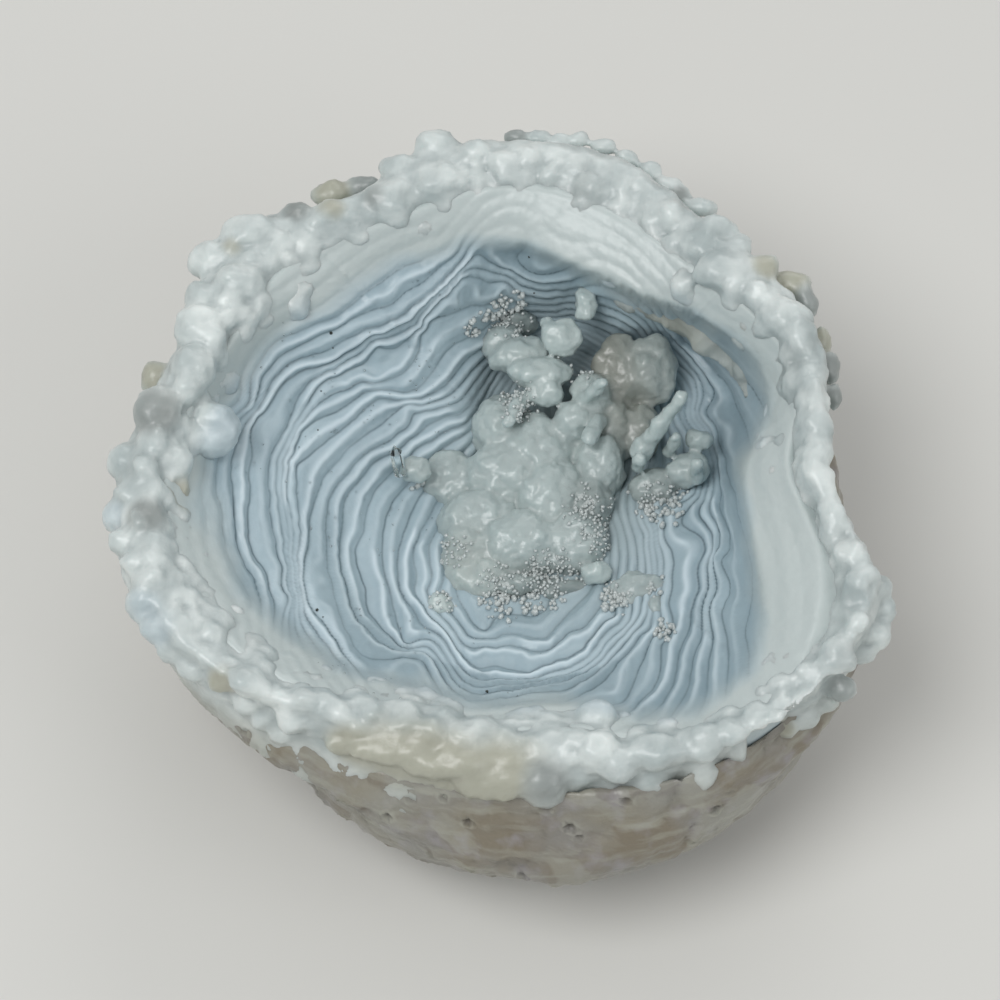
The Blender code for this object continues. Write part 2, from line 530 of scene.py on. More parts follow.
def ring_pixels(angles: Array, radii: Array) -> tuple[Array, Array]:
    """Turns angles and distances about the middle of the bowl into pixels.

    Args:
        angles: in radians, from the right, turning up.
        radii: pixels from the middle.

    Returns:
        The pixels from the left, and those from the top.
    """
    return BOWL_CENTRE[0] + radii * np.cos(angles), BOWL_CENTRE[1] - radii * np.sin(angles)


def add_node(tree: bpy.types.NodeTree, kind: str, settings: dict, inputs: dict) -> bpy.types.Node:
    """Adds one node to a material or to Geometry Nodes.

    Args:
        tree: what it is added to.
        kind: the node's type.
        settings: the node's own options, set first.
        inputs: values or links for its sockets, by name or number.

    Returns:
        The node.
    """
    made = tree.nodes.new(kind)
    for name, value in settings.items():
        setattr(made, name, value)
    for key, value in inputs.items():
        feed(tree, made.inputs[key], value)
    return made


def feed(tree: bpy.types.NodeTree, socket: bpy.types.NodeSocket, value: "Value | float | tuple") -> None:
    """Links a value to a node's socket, or sets a number or colour on it.

    Args:
        tree: what the node is in.
        socket: the node's socket.
        value: what it gets.
    """
    given = value.socket if isinstance(value, Value) else value
    if isinstance(given, bpy.types.NodeSocket):
        tree.links.new(given, socket)
    else:
        socket.default_value = given


class Value:
    """A number in a material's nodes, which sums, products and the like can be written with."""

    def __init__(self, graph: "Graph", socket: bpy.types.NodeSocket) -> None:
        """Holds a node's output."""
        self.graph = graph
        self.socket = socket

    def _with(self, operation: str, first: "Value | float", second: "Value | float") -> "Value":
        """Adds one Math node on two numbers."""
        return self.graph.node("ShaderNodeMath", {"operation": operation}, {0: first, 1: second})

    def __add__(self, other: "Value | float") -> "Value":
        """Adds."""
        return self._with("ADD", self, other)

    __radd__ = __add__

    def __sub__(self, other: "Value | float") -> "Value":
        """Subtracts."""
        return self._with("SUBTRACT", self, other)

    def __rsub__(self, other: float) -> "Value":
        """Subtracts from a number."""
        return self._with("SUBTRACT", other, self)

    def __mul__(self, other: "Value | float") -> "Value":
        """Multiplies."""
        return self._with("MULTIPLY", self, other)

    __rmul__ = __mul__

    def rounded(self) -> "Value":
        """Gives the nearest whole number."""
        return self._with("ROUND", self, 0.0)

    def size(self) -> "Value":
        """Drops the sign."""
        return self._with("ABSOLUTE", self, 0.0)

    def bell(self) -> "Value":
        """Gives 1 at zero, and falls away to both sides as a bell does."""
        return self._with("EXPONENT", self * self * -1.0, 0.0)

    def between(self, low: float, high: float) -> "Value":
        """Stretches low to high over 0 to 1, and keeps to that range."""
        inputs = {"Value": self, "From Min": low, "From Max": high}
        return self.graph.node("ShaderNodeMapRange", {"clamp": True}, inputs)


class Graph:
    """The nodes of one material, ending in one Principled shader."""

    def __init__(self, name: str) -> None:
        """Starts a material with a bare Principled shader."""
        self.material = bpy.data.materials.new(name)
        self.material.use_nodes = True
        self.tree = self.material.node_tree
        self.tree.nodes.clear()
        self.shader = self.tree.nodes.new("ShaderNodeBsdfPrincipled")
        self.output = self.tree.nodes.new("ShaderNodeOutputMaterial")
        self.tree.links.new(self.shader.outputs[0], self.output.inputs["Surface"])

    def node(self, kind: str, settings: dict | None = None, inputs: dict | None = None,
             output: str | int = 0) -> Value:
        """Adds one node to the material, as add_node does, and gives one of its outputs."""
        return Value(self, add_node(self.tree, kind, settings or {}, inputs or {}).outputs[output])

    def feed(self, name: str, value: "Value | float | tuple") -> None:
        """Links or sets one of the shader's sockets."""
        feed(self.tree, self.shader.inputs[name], value)

    def mix(self, share: Value, first: "Value | tuple", second: "Value | tuple") -> Value:
        """Mixes two colours.

        Args:
            share: how much of the second, 0 to 1.
            first: the colour at 0.
            second: the colour at 1.

        Returns:
            The mixed colour.
        """
        settings = {"data_type": "RGBA", "blend_type": "MIX", "clamp_factor": True}
        return self.node("ShaderNodeMix", settings, {"Factor": share, 6: first, 7: second}, output=2)

    def patched(self, colour: Value, patches: dict[str, tuple]) -> Value:
        """Lays patches of other colours over a colour, one after another.

        Args:
            colour: the colour underneath.
            patches: each patch's colour, by the name of the number that says how much of it shows.

        Returns:
            The colour with its patches.
        """
        for name, other in patches.items():
            colour = self.mix(self.attribute(name), colour, other)
        return colour

    def coloured(self, colour: Value) -> bpy.types.Material:
        """Gives the surface its colour, and hands over the material."""
        self.feed("Base Color", colour)
        return self.material

    def attribute(self, name: str) -> Value:
        """Reads a number that the piece's mesh carries."""
        return self.node("ShaderNodeAttribute", {"attribute_name": name}, output="Fac")

    def noise(self, millimetres: float, detail: float = 3.0, stretch: tuple = (1.0, 1.0, 1.0)) -> Value:
        """Reads smooth noise on Object coordinates.

        Args:
            millimetres: the size of its patches.
            detail: how many finer layers it has.
            stretch: how much finer it is along each axis.

        Returns:
            Noise of 0 to 1.
        """
        where = self.node("ShaderNodeTexCoord", output="Object")
        placed = self.node("ShaderNodeMapping", {}, {"Vector": where, "Scale": stretch})
        scale = 1 / (millimetres * MM)
        return self.node("ShaderNodeTexNoise", {}, {"Vector": placed, "Scale": scale, "Detail": detail})

    def bump(self, height: Value, millimetres: float, strength: float) -> None:
        """Gives the surface a fine relief."""
        inputs = {"Height": height, "Distance": millimetres * MM, "Strength": strength}
        self.feed("Normal", self.node("ShaderNodeBump", {}, inputs))

    def constants(self, values: dict) -> None:
        """Sets numbers and colours that are the same all over on the shader."""
        for name, value in values.items():
            self.feed(name, value)


@dataclass(frozen=True)
class Gloss:
    """How a surface reflects light and lets it in, the same all over. The depth is in millimetres."""

    roughness: float
    depth: float
    inside: float
    coat: float
    coat_roughness: float = 0.3
    tint: Triple = (0.9, 1.0, 1.0)

    def apply(self, graph: Graph) -> None:
        """Sets the shader's constants."""
        graph.constants({
            "Roughness": self.roughness,
            "IOR": QUARTZ_IOR,
            "Subsurface Weight": self.inside,
            "Subsurface Radius": self.tint,
            "Subsurface Scale": self.depth * MM,
            "Coat Weight": self.coat,
            "Coat Roughness": self.coat_roughness,
        })


@dataclass(frozen=True)
class BandedBlue:
    """The blue terraces: pale lips, partly painted highlight, dark lines of painted shade in the creases and
    blue-grey bands between.

    Sizes of patches and the relief are millimetres. A line is the narrower the higher its sharpness.
    """

    deep: tuple = srgb(134, 156, 166)
    light: tuple = srgb(178, 197, 205)
    # The lips' colour is partly their own white and partly painted highlight.
    lip: tuple = srgb(210, 225, 232)
    # The dark lines are painted shade under the overhanging lips.
    crease_shade: tuple = srgb(78, 98, 108)
    white: tuple = srgb(192, 202, 201)
    grey: tuple = srgb(158, 170, 168)
    cloud_size: float = 5.0
    grain_size: float = 0.5
    fine_size: float = 0.18
    clouding: float = 0.35
    graining: float = 0.18
    lip_sharpness: float = 2.3
    crease_sharpness: float = 6.5
    relief: float = 0.06
    gloss: Gloss = Gloss(roughness=0.38, depth=0.7, inside=0.25, coat=0.15)

    def material(self) -> bpy.types.Material:
        """Makes the material."""
        graph = Graph("banded_blue")
        self.gloss.apply(graph)
        cloud = graph.noise(self.cloud_size, 4.0)
        grain = graph.noise(self.grain_size, 3.0)
        tone = graph.attribute("tone") + self.clouding * (cloud - 0.5) + self.graining * (grain - 0.5)
        colour = graph.mix(tone.between(0.0, 1.0), self.deep, self.light)
        count, broad = graph.attribute("count"), graph.attribute("broad")
        off = (count - count.rounded()).size()
        # The lips: a pale line on each ridge, partly the stone's own white and partly painted highlight.
        lip = (off * broad * self.lip_sharpness).bell() * graph.attribute("lip")
        # Painted shade: a dark line along each crease, at the foot of a lip.
        crease_shade = ((0.5 - off) * broad * self.crease_sharpness).bell() * graph.attribute("crease_shade")
        colour = graph.mix(lip, colour, self.lip)
        colour = graph.mix(crease_shade, colour, self.crease_shade)
        graph.bump(grain * 0.7 + graph.noise(self.fine_size, 2.0) * 0.3, self.relief, 0.5)
        return graph.coloured(graph.patched(colour, {"grey": self.grey, "white": self.white}))


@dataclass(frozen=True)
class WhiteCrust:
    """The waxy white crust of the rim, with warmer, greyer and bluer patches, and painted shade in its
    hollows.
    """

    white: tuple = srgb(224, 231, 229)
    shade: tuple = srgb(172, 183, 183)
    warm: tuple = srgb(170, 170, 154)
    grey: tuple = srgb(140, 146, 144)
    blue: tuple = srgb(176, 194, 204)
    cloud_size: float = 7.0
    layer_size: float = 2.4
    layer_stretch: Triple = (0.35, 0.35, 1.6)
    grain_size: float = 0.9
    relief: float = 0.12
    gloss: Gloss = Gloss(roughness=0.36, depth=2.2, inside=0.4, coat=0.2)

    def material(self) -> bpy.types.Material:
        """Makes the material."""
        graph = Graph("white_crust")
        self.gloss.apply(graph)
        cloud = graph.noise(self.cloud_size, 4.0)
        layers = graph.noise(self.layer_size, 3.0, self.layer_stretch)
        colour = graph.mix((cloud * 0.7 + layers * 0.3).between(0.66, 0.36), self.white, self.shade)
        # The first patch is painted shade on the inner slope and in the grooves between the lumps.
        patches = {"painted_shade": self.shade, "warm": self.warm, "grey": self.grey, "blue": self.blue}
        graph.bump(graph.noise(self.grain_size, 3.0), self.relief, 0.5)
        return graph.coloured(graph.patched(colour, patches))


@dataclass(frozen=True)
class OuterRind:
    """The grey-brown outside, glassy and pitted."""

    grey: tuple = srgb(134, 132, 126)
    brown: tuple = srgb(126, 118, 102)
    lilac: tuple = srgb(150, 147, 150)
    dark: tuple = srgb(84, 82, 76)
    pale: tuple = srgb(172, 174, 162)
    cloud_size: float = 9.0
    patch_size: float = 4.0
    layer_size: float = 3.0
    layer_stretch: Triple = (0.3, 0.3, 2.2)
    grain_size: float = 0.7
    relief: float = 0.2
    gloss: Gloss = Gloss(roughness=0.4, depth=1.2, inside=0.22, coat=0.25, tint=(1.0, 0.95, 0.85))

    def material(self) -> bpy.types.Material:
        """Makes the material."""
        graph = Graph("outer_rind")
        self.gloss.apply(graph)
        cloud = graph.noise(self.cloud_size, 4.0)
        patch = graph.noise(self.patch_size, 3.0)
        layers = graph.noise(self.layer_size, 3.0, self.layer_stretch)
        colour = graph.mix(cloud.between(0.38, 0.62), self.brown, self.grey)
        colour = graph.mix(patch.between(0.52, 0.7) * 0.8, colour, self.lilac)
        colour = graph.mix(layers.between(0.5, 0.72) * 0.5, colour, self.pale)
        graph.bump(graph.noise(self.grain_size, 4.0), self.relief, 0.7)
        return graph.coloured(graph.patched(colour, {"pale": self.pale, "pit": self.dark}))


@dataclass(frozen=True)
class GreyGrowth:
    """The clouded, half clear growths on the bowl's floor."""

    grey: tuple = srgb(160, 172, 172)
    pale: tuple = srgb(190, 202, 200)
    warm: tuple = srgb(140, 136, 122)
    dark: tuple = srgb(92, 102, 100)
    cloud_size: float = 2.2
    grain_size: float = 0.35
    relief: float = 0.08
    gloss: Gloss = Gloss(roughness=0.3, depth=1.5, inside=0.5, coat=0.3)

    def material(self) -> bpy.types.Material:
        """Makes the material."""
        graph = Graph("grey_growth")
        self.gloss.apply(graph)
        tone = graph.attribute("tone") + 0.5 * (graph.noise(self.cloud_size, 4.0) - 0.5)
        colour = graph.mix(tone.between(0.0, 1.0), self.grey, self.pale)
        graph.bump(graph.noise(self.grain_size, 3.0), self.relief, 0.6)
        return graph.coloured(graph.patched(colour, {"warm": self.warm, "dark": self.dark}))


@dataclass(frozen=True)
class Glass:
    """Clear quartz: light passes through it and, where it is fully clear, loses a little on the way."""

    name: str
    colour: tuple = (0.93, 0.96, 0.96, 1.0)
    roughness: float = 0.04
    clearness: float = 1.0
    density: float = 25.0
    dimming: tuple = (0.86, 0.9, 0.9, 1.0)

    def material(self) -> bpy.types.Material:
        """Makes the material."""
        graph = Graph(self.name)
        graph.constants({
            "Base Color": self.colour,
            "Roughness": self.roughness,
            "IOR": QUARTZ_IOR,
            "Transmission Weight": self.clearness,
        })
        if self.clearness == 1.0:
            inputs = {"Color": self.dimming, "Density": self.density}
            dimming = graph.node("ShaderNodeVolumeAbsorption", {}, inputs)
            feed(graph.tree, graph.output.inputs["Volume"], dimming)
        return graph.material


@dataclass(frozen=True)
class DarkSpeck:
    """Tiny black grains caught on the terraces."""

    black: tuple = srgb(24, 34, 34)
    brown: tuple = srgb(58, 60, 50)
    patch_size: float = 0.3
    roughness: float = 0.5

    def material(self) -> bpy.types.Material:
        """Makes the material."""
        graph = Graph("dark_speck")
        graph.constants({"Roughness": self.roughness})
        patch = graph.noise(self.patch_size, 2.0)
        return graph.coloured(graph.mix(patch.between(0.4, 0.6), self.black, self.brown))


@dataclass(frozen=True)
class PaleFloor:
    """The plain pale floor that the stone stands on."""

    colour: tuple = srgb(214, 214, 210)
    roughness: float = 0.7

    def material(self) -> bpy.types.Material:
        """Makes the material."""
        graph = Graph("pale_floor")
        graph.constants({"Base Color": self.colour, "Roughness": self.roughness})
        return graph.material


def finished(name: str, shape: Shape, material: bpy.types.Material,
             carried: dict[str, Array] | None = None) -> bpy.types.Object:
    """Makes a finished piece of a shape and hands it to the frame.

    Args:
        name: the piece's name.
        shape: its shape in millimetres.
        material: its finish.
        carried: numbers for the finish, one for each point, by name.

    Returns:
        The piece.
    """
    mesh = shape.mesh(name)
    mesh.transform(Matrix.Scale(MM, 4))
    for label, values in (carried or {}).items():
        carry(mesh, label, values)
    mesh.materials.append(material)
    mesh.shade_smooth()
    thing = bpy.data.objects.new(name, mesh)
    bpy.context.scene.collection.objects.link(thing)
    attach(thing, BODY)
    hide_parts(CAD_NODE)
    triangles = sum(len(face) - 2 for face in shape.faces)
    LOG.info("%s: %d points, %d triangles", name, len(shape.points), triangles)
    return thing


def ball(rounds: int) -> Shape:
    """Makes a sphere of radius 1 from triangles.

    Args:
        rounds: how finely it is divided.

    Returns:
        The sphere.
    """
    work = bmesh.new()
    bmesh.ops.create_icosphere(work, subdivisions=rounds, radius=1.0)
    mesh = bpy.data.meshes.new("ball")
    work.to_mesh(mesh)
    work.free()
    return read_shape(mesh)


def quartz_shape(width: float, height: float, tip: float) -> Shape:
    """Makes a quartz point: a six-sided prism that ends in a six-sided pyramid.

    Args:
        width: half its width.
        height: its whole height.
        tip: the height of the pyramid.

    Returns:
        The crystal, with its foot in the origin and its tip up.
    """
    turns = [math.radians(360 / CRYSTAL_SIDES * side) for side in range(CRYSTAL_SIDES)]
    ring = [(width * math.cos(turn), width * math.sin(turn)) for turn in turns]
    points = [(x, y, 0.0) for x, y in ring] + [(x, y, height - tip) for x, y in ring]
    points.append((0.0, 0.0, height))
    faces: list[tuple[int, ...]] = [tuple(range(CRYSTAL_SIDES - 1, -1, -1))]
    for side in range(CRYSTAL_SIDES):
        other = (side + 1) % CRYSTAL_SIDES
        faces.append((side, other, other + CRYSTAL_SIDES, side + CRYSTAL_SIDES))
        faces.append((side + CRYSTAL_SIDES, other + CRYSTAL_SIDES, 2 * CRYSTAL_SIDES))
    return Shape(np.array(points), faces)


@dataclass(frozen=True)
class Sowing:
    """How a small shape is sown over a surface.

    per_area is the copies in a square millimetre where the surface is sown fully, sizes the smallest and
    the largest scale, flatness the copies' height as a share of their width, and lean their most tilt in
    radians. Another seed gives other places.
    """

    per_area: float
    sizes: tuple[float, float]
    flatness: float
    lean: float
    seed: int


class Scatter:
    """A Geometry Nodes tree that sows one small shape over a surface, more where the surface says so."""

    SOCKETS = (
        ("Surface", "NodeSocketGeometry"),
        ("Shape", "NodeSocketObject"),
        ("Shapes per area", "NodeSocketFloat"),
        ("Smallest", "NodeSocketFloat"),
        ("Largest", "NodeSocketFloat"),
        ("Flatness", "NodeSocketFloat"),
        ("Lean", "NodeSocketFloat"),
        ("Seed", "NodeSocketInt"),
        ("Finish", "NodeSocketMaterial"),
    )
    SOWN = "sown"

    def __init__(self) -> None:
        """Builds the tree."""
        self.tree = bpy.data.node_groups.new("scatter", "GeometryNodeTree")
        self.identifiers: dict[str, str] = {}
        for name, kind in self.SOCKETS:
            socket = self.tree.interface.new_socket(name, in_out="INPUT", socket_type=kind)
            self.identifiers[name] = socket.identifier
        self.tree.interface.new_socket("Sown", in_out="OUTPUT", socket_type="NodeSocketGeometry")
        self._build()

    def _node(self, kind: str, settings: dict, inputs: dict) -> bpy.types.Node:
        """Adds one node to the tree."""
        return add_node(self.tree, kind, settings, inputs)

    def _build(self) -> None:
        """Adds and joins the nodes."""
        given = self.tree.nodes.new("NodeGroupInput").outputs
        where = self._node("GeometryNodeInputNamedAttribute", {"data_type": "FLOAT"}, {"Name": self.SOWN})
        density = self._node("ShaderNodeMath", {"operation": "MULTIPLY"},
                             {0: where.outputs["Attribute"], 1: given["Shapes per area"]})
        points = self._node("GeometryNodeDistributePointsOnFaces", {"distribute_method": "RANDOM"}, {
            "Mesh": given["Surface"], "Density": density.outputs[0], "Seed": given["Seed"]})
        size = self._node("FunctionNodeRandomValue", {"data_type": "FLOAT"}, {
            2: given["Smallest"], 3: given["Largest"], "Seed": given["Seed"]})
        height = self._node("ShaderNodeMath", {"operation": "MULTIPLY"},
                            {0: size.outputs[1], 1: given["Flatness"]})
        scale = self._node("ShaderNodeCombineXYZ", {}, {
            "X": size.outputs[1], "Y": size.outputs[1], "Z": height.outputs[0]})
        low = self._node("ShaderNodeMath", {"operation": "MULTIPLY"}, {0: given["Lean"], 1: -1.0})
        least = self._node("ShaderNodeCombineXYZ", {}, {
            "X": low.outputs[0], "Y": low.outputs[0], "Z": -math.pi})
        most = self._node("ShaderNodeCombineXYZ", {}, {"X": given["Lean"], "Y": given["Lean"], "Z": math.pi})
        lean = self._node("FunctionNodeRandomValue", {"data_type": "FLOAT_VECTOR"}, {
            0: least.outputs[0], 1: most.outputs[0], "Seed": given["Seed"]})
        turned = self._node("FunctionNodeRotateRotation", {"rotation_space": "LOCAL"}, {
            "Rotation": points.outputs["Rotation"], "Rotate By": lean.outputs[0]})
        shape = self._node("GeometryNodeObjectInfo", {}, {"Object": given["Shape"]})
        copies = self._node("GeometryNodeInstanceOnPoints", {}, {
            "Points": points.outputs["Points"], "Instance": shape.outputs["Geometry"],
            "Rotation": turned.outputs[0], "Scale": scale.outputs[0]})
        real = self._node("GeometryNodeRealizeInstances", {}, {"Geometry": copies.outputs[0]})
        dressed = self._node("GeometryNodeSetMaterial", {}, {
            "Geometry": real.outputs[0], "Material": given["Finish"]})
        end = self.tree.nodes.new("NodeGroupOutput")
        self.tree.links.new(dressed.outputs[0], end.inputs[0])

    def sow(self, surface: Shape, sown: Array, small: Shape, how: Sowing) -> Shape:
        """Sows copies of a small shape over a surface.

        Args:
            surface: what they stand on.
            sown: how thickly each of its points is sown, 0 to 1.
            small: the shape that is repeated.
            how: how many, how large and how far turned they are.

        Returns:
            All the copies.
        """
        mesh = surface.mesh("sown_surface")
        carry(mesh, self.SOWN, sown)
        host = bpy.data.objects.new("sown_surface", mesh)
        seedling = temporary("seedling", small.mesh("seedling"))
        sower = host.modifiers.new("scatter", "NODES")
        sower.node_group = self.tree
        settings = {
            "Shape": seedling, "Shapes per area": how.per_area, "Smallest": how.sizes[0],
            "Largest": how.sizes[1], "Flatness": how.flatness, "Lean": how.lean, "Seed": how.seed,
        }
        for name, value in settings.items():
            sower[self.identifiers[name]] = value
        bpy.context.scene.collection.objects.link(host)
        result = read_shape(evaluated(host))
        host.modifiers.remove(sower)
        bpy.data.objects.remove(host)
        bpy.data.objects.remove(seedling)
        return result


@dataclass(frozen=True)
class Ridge:
    """One pale lip of the terraces, followed on the photograph.

    level is its place in the order of the bands, counted inwards, and bold how far it stands out.
    """

    level: float
    bold: float
    trace: tuple[tuple[float, float], ...]


# The bands' lips: first those of the left side and the front, then those of the right. The last entry is no
# lip: it pins the count in the middle of the bowl.
RIDGES = (
    Ridge(1, 0.7, ((470, 229), (455, 245), (444, 255), (431, 263), (409, 276), (398, 282), (390, 290),
        (370, 300), (357, 308), (347, 316), (335, 324), (320, 329), (305, 335), (287, 343), (275, 350),
        (264, 363), (255, 378), (250, 394), (247, 408))),
    Ridge(1, 0.35, ((209, 470), (210, 500), (212, 520), (214, 545), (221, 560), (230, 578), (241, 596))),
    Ridge(2, 0.3, ((464, 248), (450, 265), (440, 276), (430, 286), (418, 296), (405, 304), (392, 312),
        (375, 318), (355, 325), (340, 333), (325, 341), (310, 347), (295, 354), (282, 362), (270, 374),
        (260, 390))),
    Ridge(2, 0.35, ((222, 465), (223, 490), (228, 515), (229, 540), (237, 562), (247, 580), (255, 600))),
    Ridge(3, 0.95, ((513, 243), (496, 241), (484, 242), (476, 246), (470, 253), (462, 263), (455, 272),
        (446, 282), (436, 292), (425, 301), (414, 311), (402, 318), (390, 323), (378, 331), (360, 338),
        (345, 347), (330, 357), (312, 361), (297, 366), (286, 373), (276, 382), (268, 393), (262, 402),
        (252, 414), (244, 426), (240, 450), (239, 480), (239, 510), (238, 538), (242, 550), (247, 562),
        (253, 572), (258, 582), (262, 595), (264, 608), (267, 620))),
    Ridge(4, 0.3, ((276, 590), (268, 560), (262, 540), (258, 520), (257, 500), (257, 480), (259, 460),
        (263, 440), (270, 420), (279, 404), (290, 390), (303, 379), (318, 371), (335, 364), (350, 355),
        (362, 346))),
    Ridge(5, 0.45, ((290, 600), (284, 570), (279, 540), (276, 520), (273, 500), (272, 480), (273, 465),
        (276, 452), (282, 440), (289, 427), (296, 412))),
    Ridge(5, 0.85, ((306, 396), (312, 385), (320, 377), (330, 372), (340, 367), (352, 361), (363, 354),
        (369, 346), (376, 341), (388, 341), (398, 336), (409, 331), (420, 324), (425, 313), (431, 305),
        (440, 296), (450, 286), (460, 275))),
    Ridge(6, 0.7, ((345, 381), (357, 374), (374, 377), (388, 371), (400, 364), (409, 353), (414, 342),
        (418, 331), (426, 320), (438, 310), (455, 301), (478, 294), (496, 292), (505, 284))),
    Ridge(7, 0.75, ((284, 500), (283, 485), (284, 472), (287, 458), (291, 445), (297, 430), (306, 419),
        (315, 411), (327, 404), (340, 397), (352, 390), (364, 385))),
    Ridge(7, 0.6, ((408, 378), (421, 364), (430, 351), (441, 338), (455, 327), (467, 319), (480, 312))),
    Ridge(8, 0.9, ((290, 466), (297, 455), (305, 447), (314, 437), (327, 426), (340, 418), (349, 410),
        (358, 402), (367, 397), (378, 392), (390, 392), (405, 396), (416, 395), (427, 391), (438, 382),
        (450, 369), (457, 358), (463, 352), (476, 346), (490, 338))),
    Ridge(9, 0.8, ((440, 396), (420, 403), (405, 401), (390, 402), (376, 410), (360, 421), (349, 430),
        (340, 439), (330, 450), (322, 461), (314, 474), (310, 487), (306, 500), (302, 520), (301, 540),
        (299, 560), (299, 575), (301, 590), (304, 605), (312, 621), (322, 634), (335, 650), (347, 665),
        (362, 681))),
    Ridge(10, 0.4, ((425, 408), (408, 406), (403, 416), (396, 423), (387, 431), (376, 438), (362, 450),
        (349, 463), (340, 472), (331, 484), (324, 497), (319, 515), (316, 540), (316, 560), (320, 585),
        (326, 612), (336, 637), (350, 657), (366, 672), (385, 684))),
    Ridge(11, 0.8, ((445, 410), (421, 417), (412, 427), (405, 433), (395, 441), (383, 450), (371, 457),
        (366, 464), (358, 475), (349, 484), (340, 493), (334, 507), (331, 530), (331, 548), (333, 565),
        (337, 585), (341, 603), (349, 620), (360, 632), (370, 643), (382, 651), (400, 656), (418, 658),
        (430, 670), (440, 686), (453, 697), (467, 704))),
    Ridge(12, 0.9, ((460, 420), (431, 433), (421, 438), (412, 443), (404, 452), (394, 460), (381, 470),
        (377, 476), (370, 484), (362, 495), (358, 506), (354, 515), (350, 530), (344, 545), (344, 560),
        (346, 575), (350, 590), (354, 605), (361, 620))),
    Ridge(13, 0.8, ((459, 432), (448, 436), (438, 442), (430, 448), (417, 456))),
    Ridge(13, 0.15, ((405, 475), (392, 490), (380, 508), (373, 530), (370, 548))),
    Ridge(13, 0.8, ((371, 560), (374, 571), (378, 583), (380, 595), (381, 607), (384, 618), (390, 630),
        (396, 640), (402, 649))),
    Ridge(14, 0.15, ((440, 462), (420, 480), (402, 505), (392, 530), (389, 548))),
    Ridge(14, 0.7, ((388, 560), (388, 572), (391, 585), (396, 597), (402, 607), (407, 620), (411, 636))),
    Ridge(15, 0.15, ((455, 472), (434, 492), (421, 515))),
    Ridge(15, 0.95, ((414, 537), (408, 550), (404, 562), (404, 575), (405, 588), (411, 600), (418, 609),
        (424, 620), (434, 631), (444, 640), (452, 650), (460, 661), (470, 671), (483, 677), (508, 677),
        (530, 679), (547, 672), (569, 666), (587, 655), (604, 631), (619, 620))),
    Ridge(16, 0.6, ((421, 548), (424, 562), (426, 580), (424, 596))),
    Ridge(16, 0.85, ((471, 656), (487, 653), (508, 654), (524, 658), (540, 662), (558, 652), (572, 642),
        (590, 634), (600, 621))),
    Ridge(17, 0.6, ((436, 555), (437, 565), (437, 580), (432, 592))),
    Ridge(17, 0.9, ((528, 647), (540, 648), (552, 646))),
    Ridge(18.5, 0.5, ((487, 632), (495, 620), (513, 615), (532, 618), (548, 606), (556, 588))),
    Ridge(12.6, 0.4, ((478, 694), (502, 691), (530, 689), (552, 685), (575, 677))),
    Ridge(2, 0.35, ((696, 339), (716, 356), (737, 382), (752, 408))),
    Ridge(3, 0.7, ((492, 252), (505, 263), (520, 272), (540, 280), (560, 276), (580, 268), (600, 266),
        (620, 277), (640, 293), (663, 320), (683, 344), (704, 367), (724, 400), (734, 433), (739, 459))),
    Ridge(4, 0.5, ((700, 415), (714, 443), (724, 474), (730, 495), (736, 525), (740, 560), (741, 600))),
    Ridge(5, 0.75, ((716, 503), (724, 525), (719, 560), (716, 611), (719, 662), (716, 690), (708, 722))),
    Ridge(6, 0.75, ((708, 638), (701, 661), (697, 687), (688, 709), (673, 726))),
    Ridge(7, 0.6, ((696, 510), (707, 535), (711, 555), (706, 590), (697, 622), (688, 650), (683, 672),
        (676, 695), (655, 724))),
    Ridge(8, 0.95, ((673, 515), (684, 546), (688, 568), (688, 595), (682, 620), (671, 648), (669, 670),
        (664, 688), (655, 701), (638, 712), (622, 722))),
    Ridge(9, 0.25, ((656, 505), (662, 540), (668, 575), (664, 605), (657, 640), (652, 665), (640, 692),
        (628, 708))),
    Ridge(10, 0.75, ((654, 632), (643, 645), (630, 660), (621, 676), (613, 697))),
    Ridge(11, 0.5, ((634, 635), (621, 653), (608, 667), (595, 680), (578, 690), (560, 699))),
    Ridge(12, 0.4, ((648, 600), (652, 570), (648, 535), (640, 505))),
    Ridge(14, 0.4, ((628, 600), (634, 570), (630, 535), (622, 508))),
    Ridge(7, 0.2, ((640, 330), (668, 365), (690, 400), (700, 435), (705, 470))),
    Ridge(10, 0.3, ((620, 345), (645, 380), (668, 420), (680, 460), (684, 490))),
    Ridge(21, 0.0, ((560, 560), (540, 470), (560, 380))),
)


class PhaseField:
    """Counts the bands at any pixel: whole numbers fall on the ridges, and the count grows inwards.

    The count bends as a thin plate would that is pinned at the ridges' points.
    """

    STIFFNESS = 6.0
    SCALE = 100.0

    def __init__(self, ridges: Sequence[Ridge]) -> None:
        """Solves for the plate."""
        self.pins = np.array([point for ridge in ridges for point in ridge.trace]) / self.SCALE
        levels = np.array([ridge.level for ridge in ridges for _ in ridge.trace])
        count = len(self.pins)
        gap = np.linalg.norm(self.pins[:, None] - self.pins[None], axis=2)
        system = np.zeros((count + 3, count + 3))
        system[:count, :count] = self._bend(gap) + np.eye(count) * self.STIFFNESS / self.SCALE**2
        system[:count, count:] = np.column_stack([np.ones(count), self.pins])
        system[count:, :count] = system[:count, count:].T
        self.weights = np.linalg.solve(system, np.concatenate([levels, np.zeros(3)]))

    @staticmethod
    def _bend(gap: Array) -> Array:
        """The plate's own curve for a gap between two points."""
        safe = np.maximum(gap, 1e-9)
        return safe**2 * np.log(safe)

    def at(self, x: Array, y: Array) -> Array:
        """Counts the bands at some pixels.

        Args:
            x: pixels from the left.
            y: pixels from the top.

        Returns:
            The count at each.
        """
        where = np.column_stack([x, y]) / self.SCALE
        total = np.column_stack([np.ones(len(where)), where]) @ self.weights[-3:]
        for pin, weight in zip(self.pins, self.weights[:-3]):
            total += weight * self._bend(np.hypot(where[:, 0] - pin[0], where[:, 1] - pin[1]))
        return total


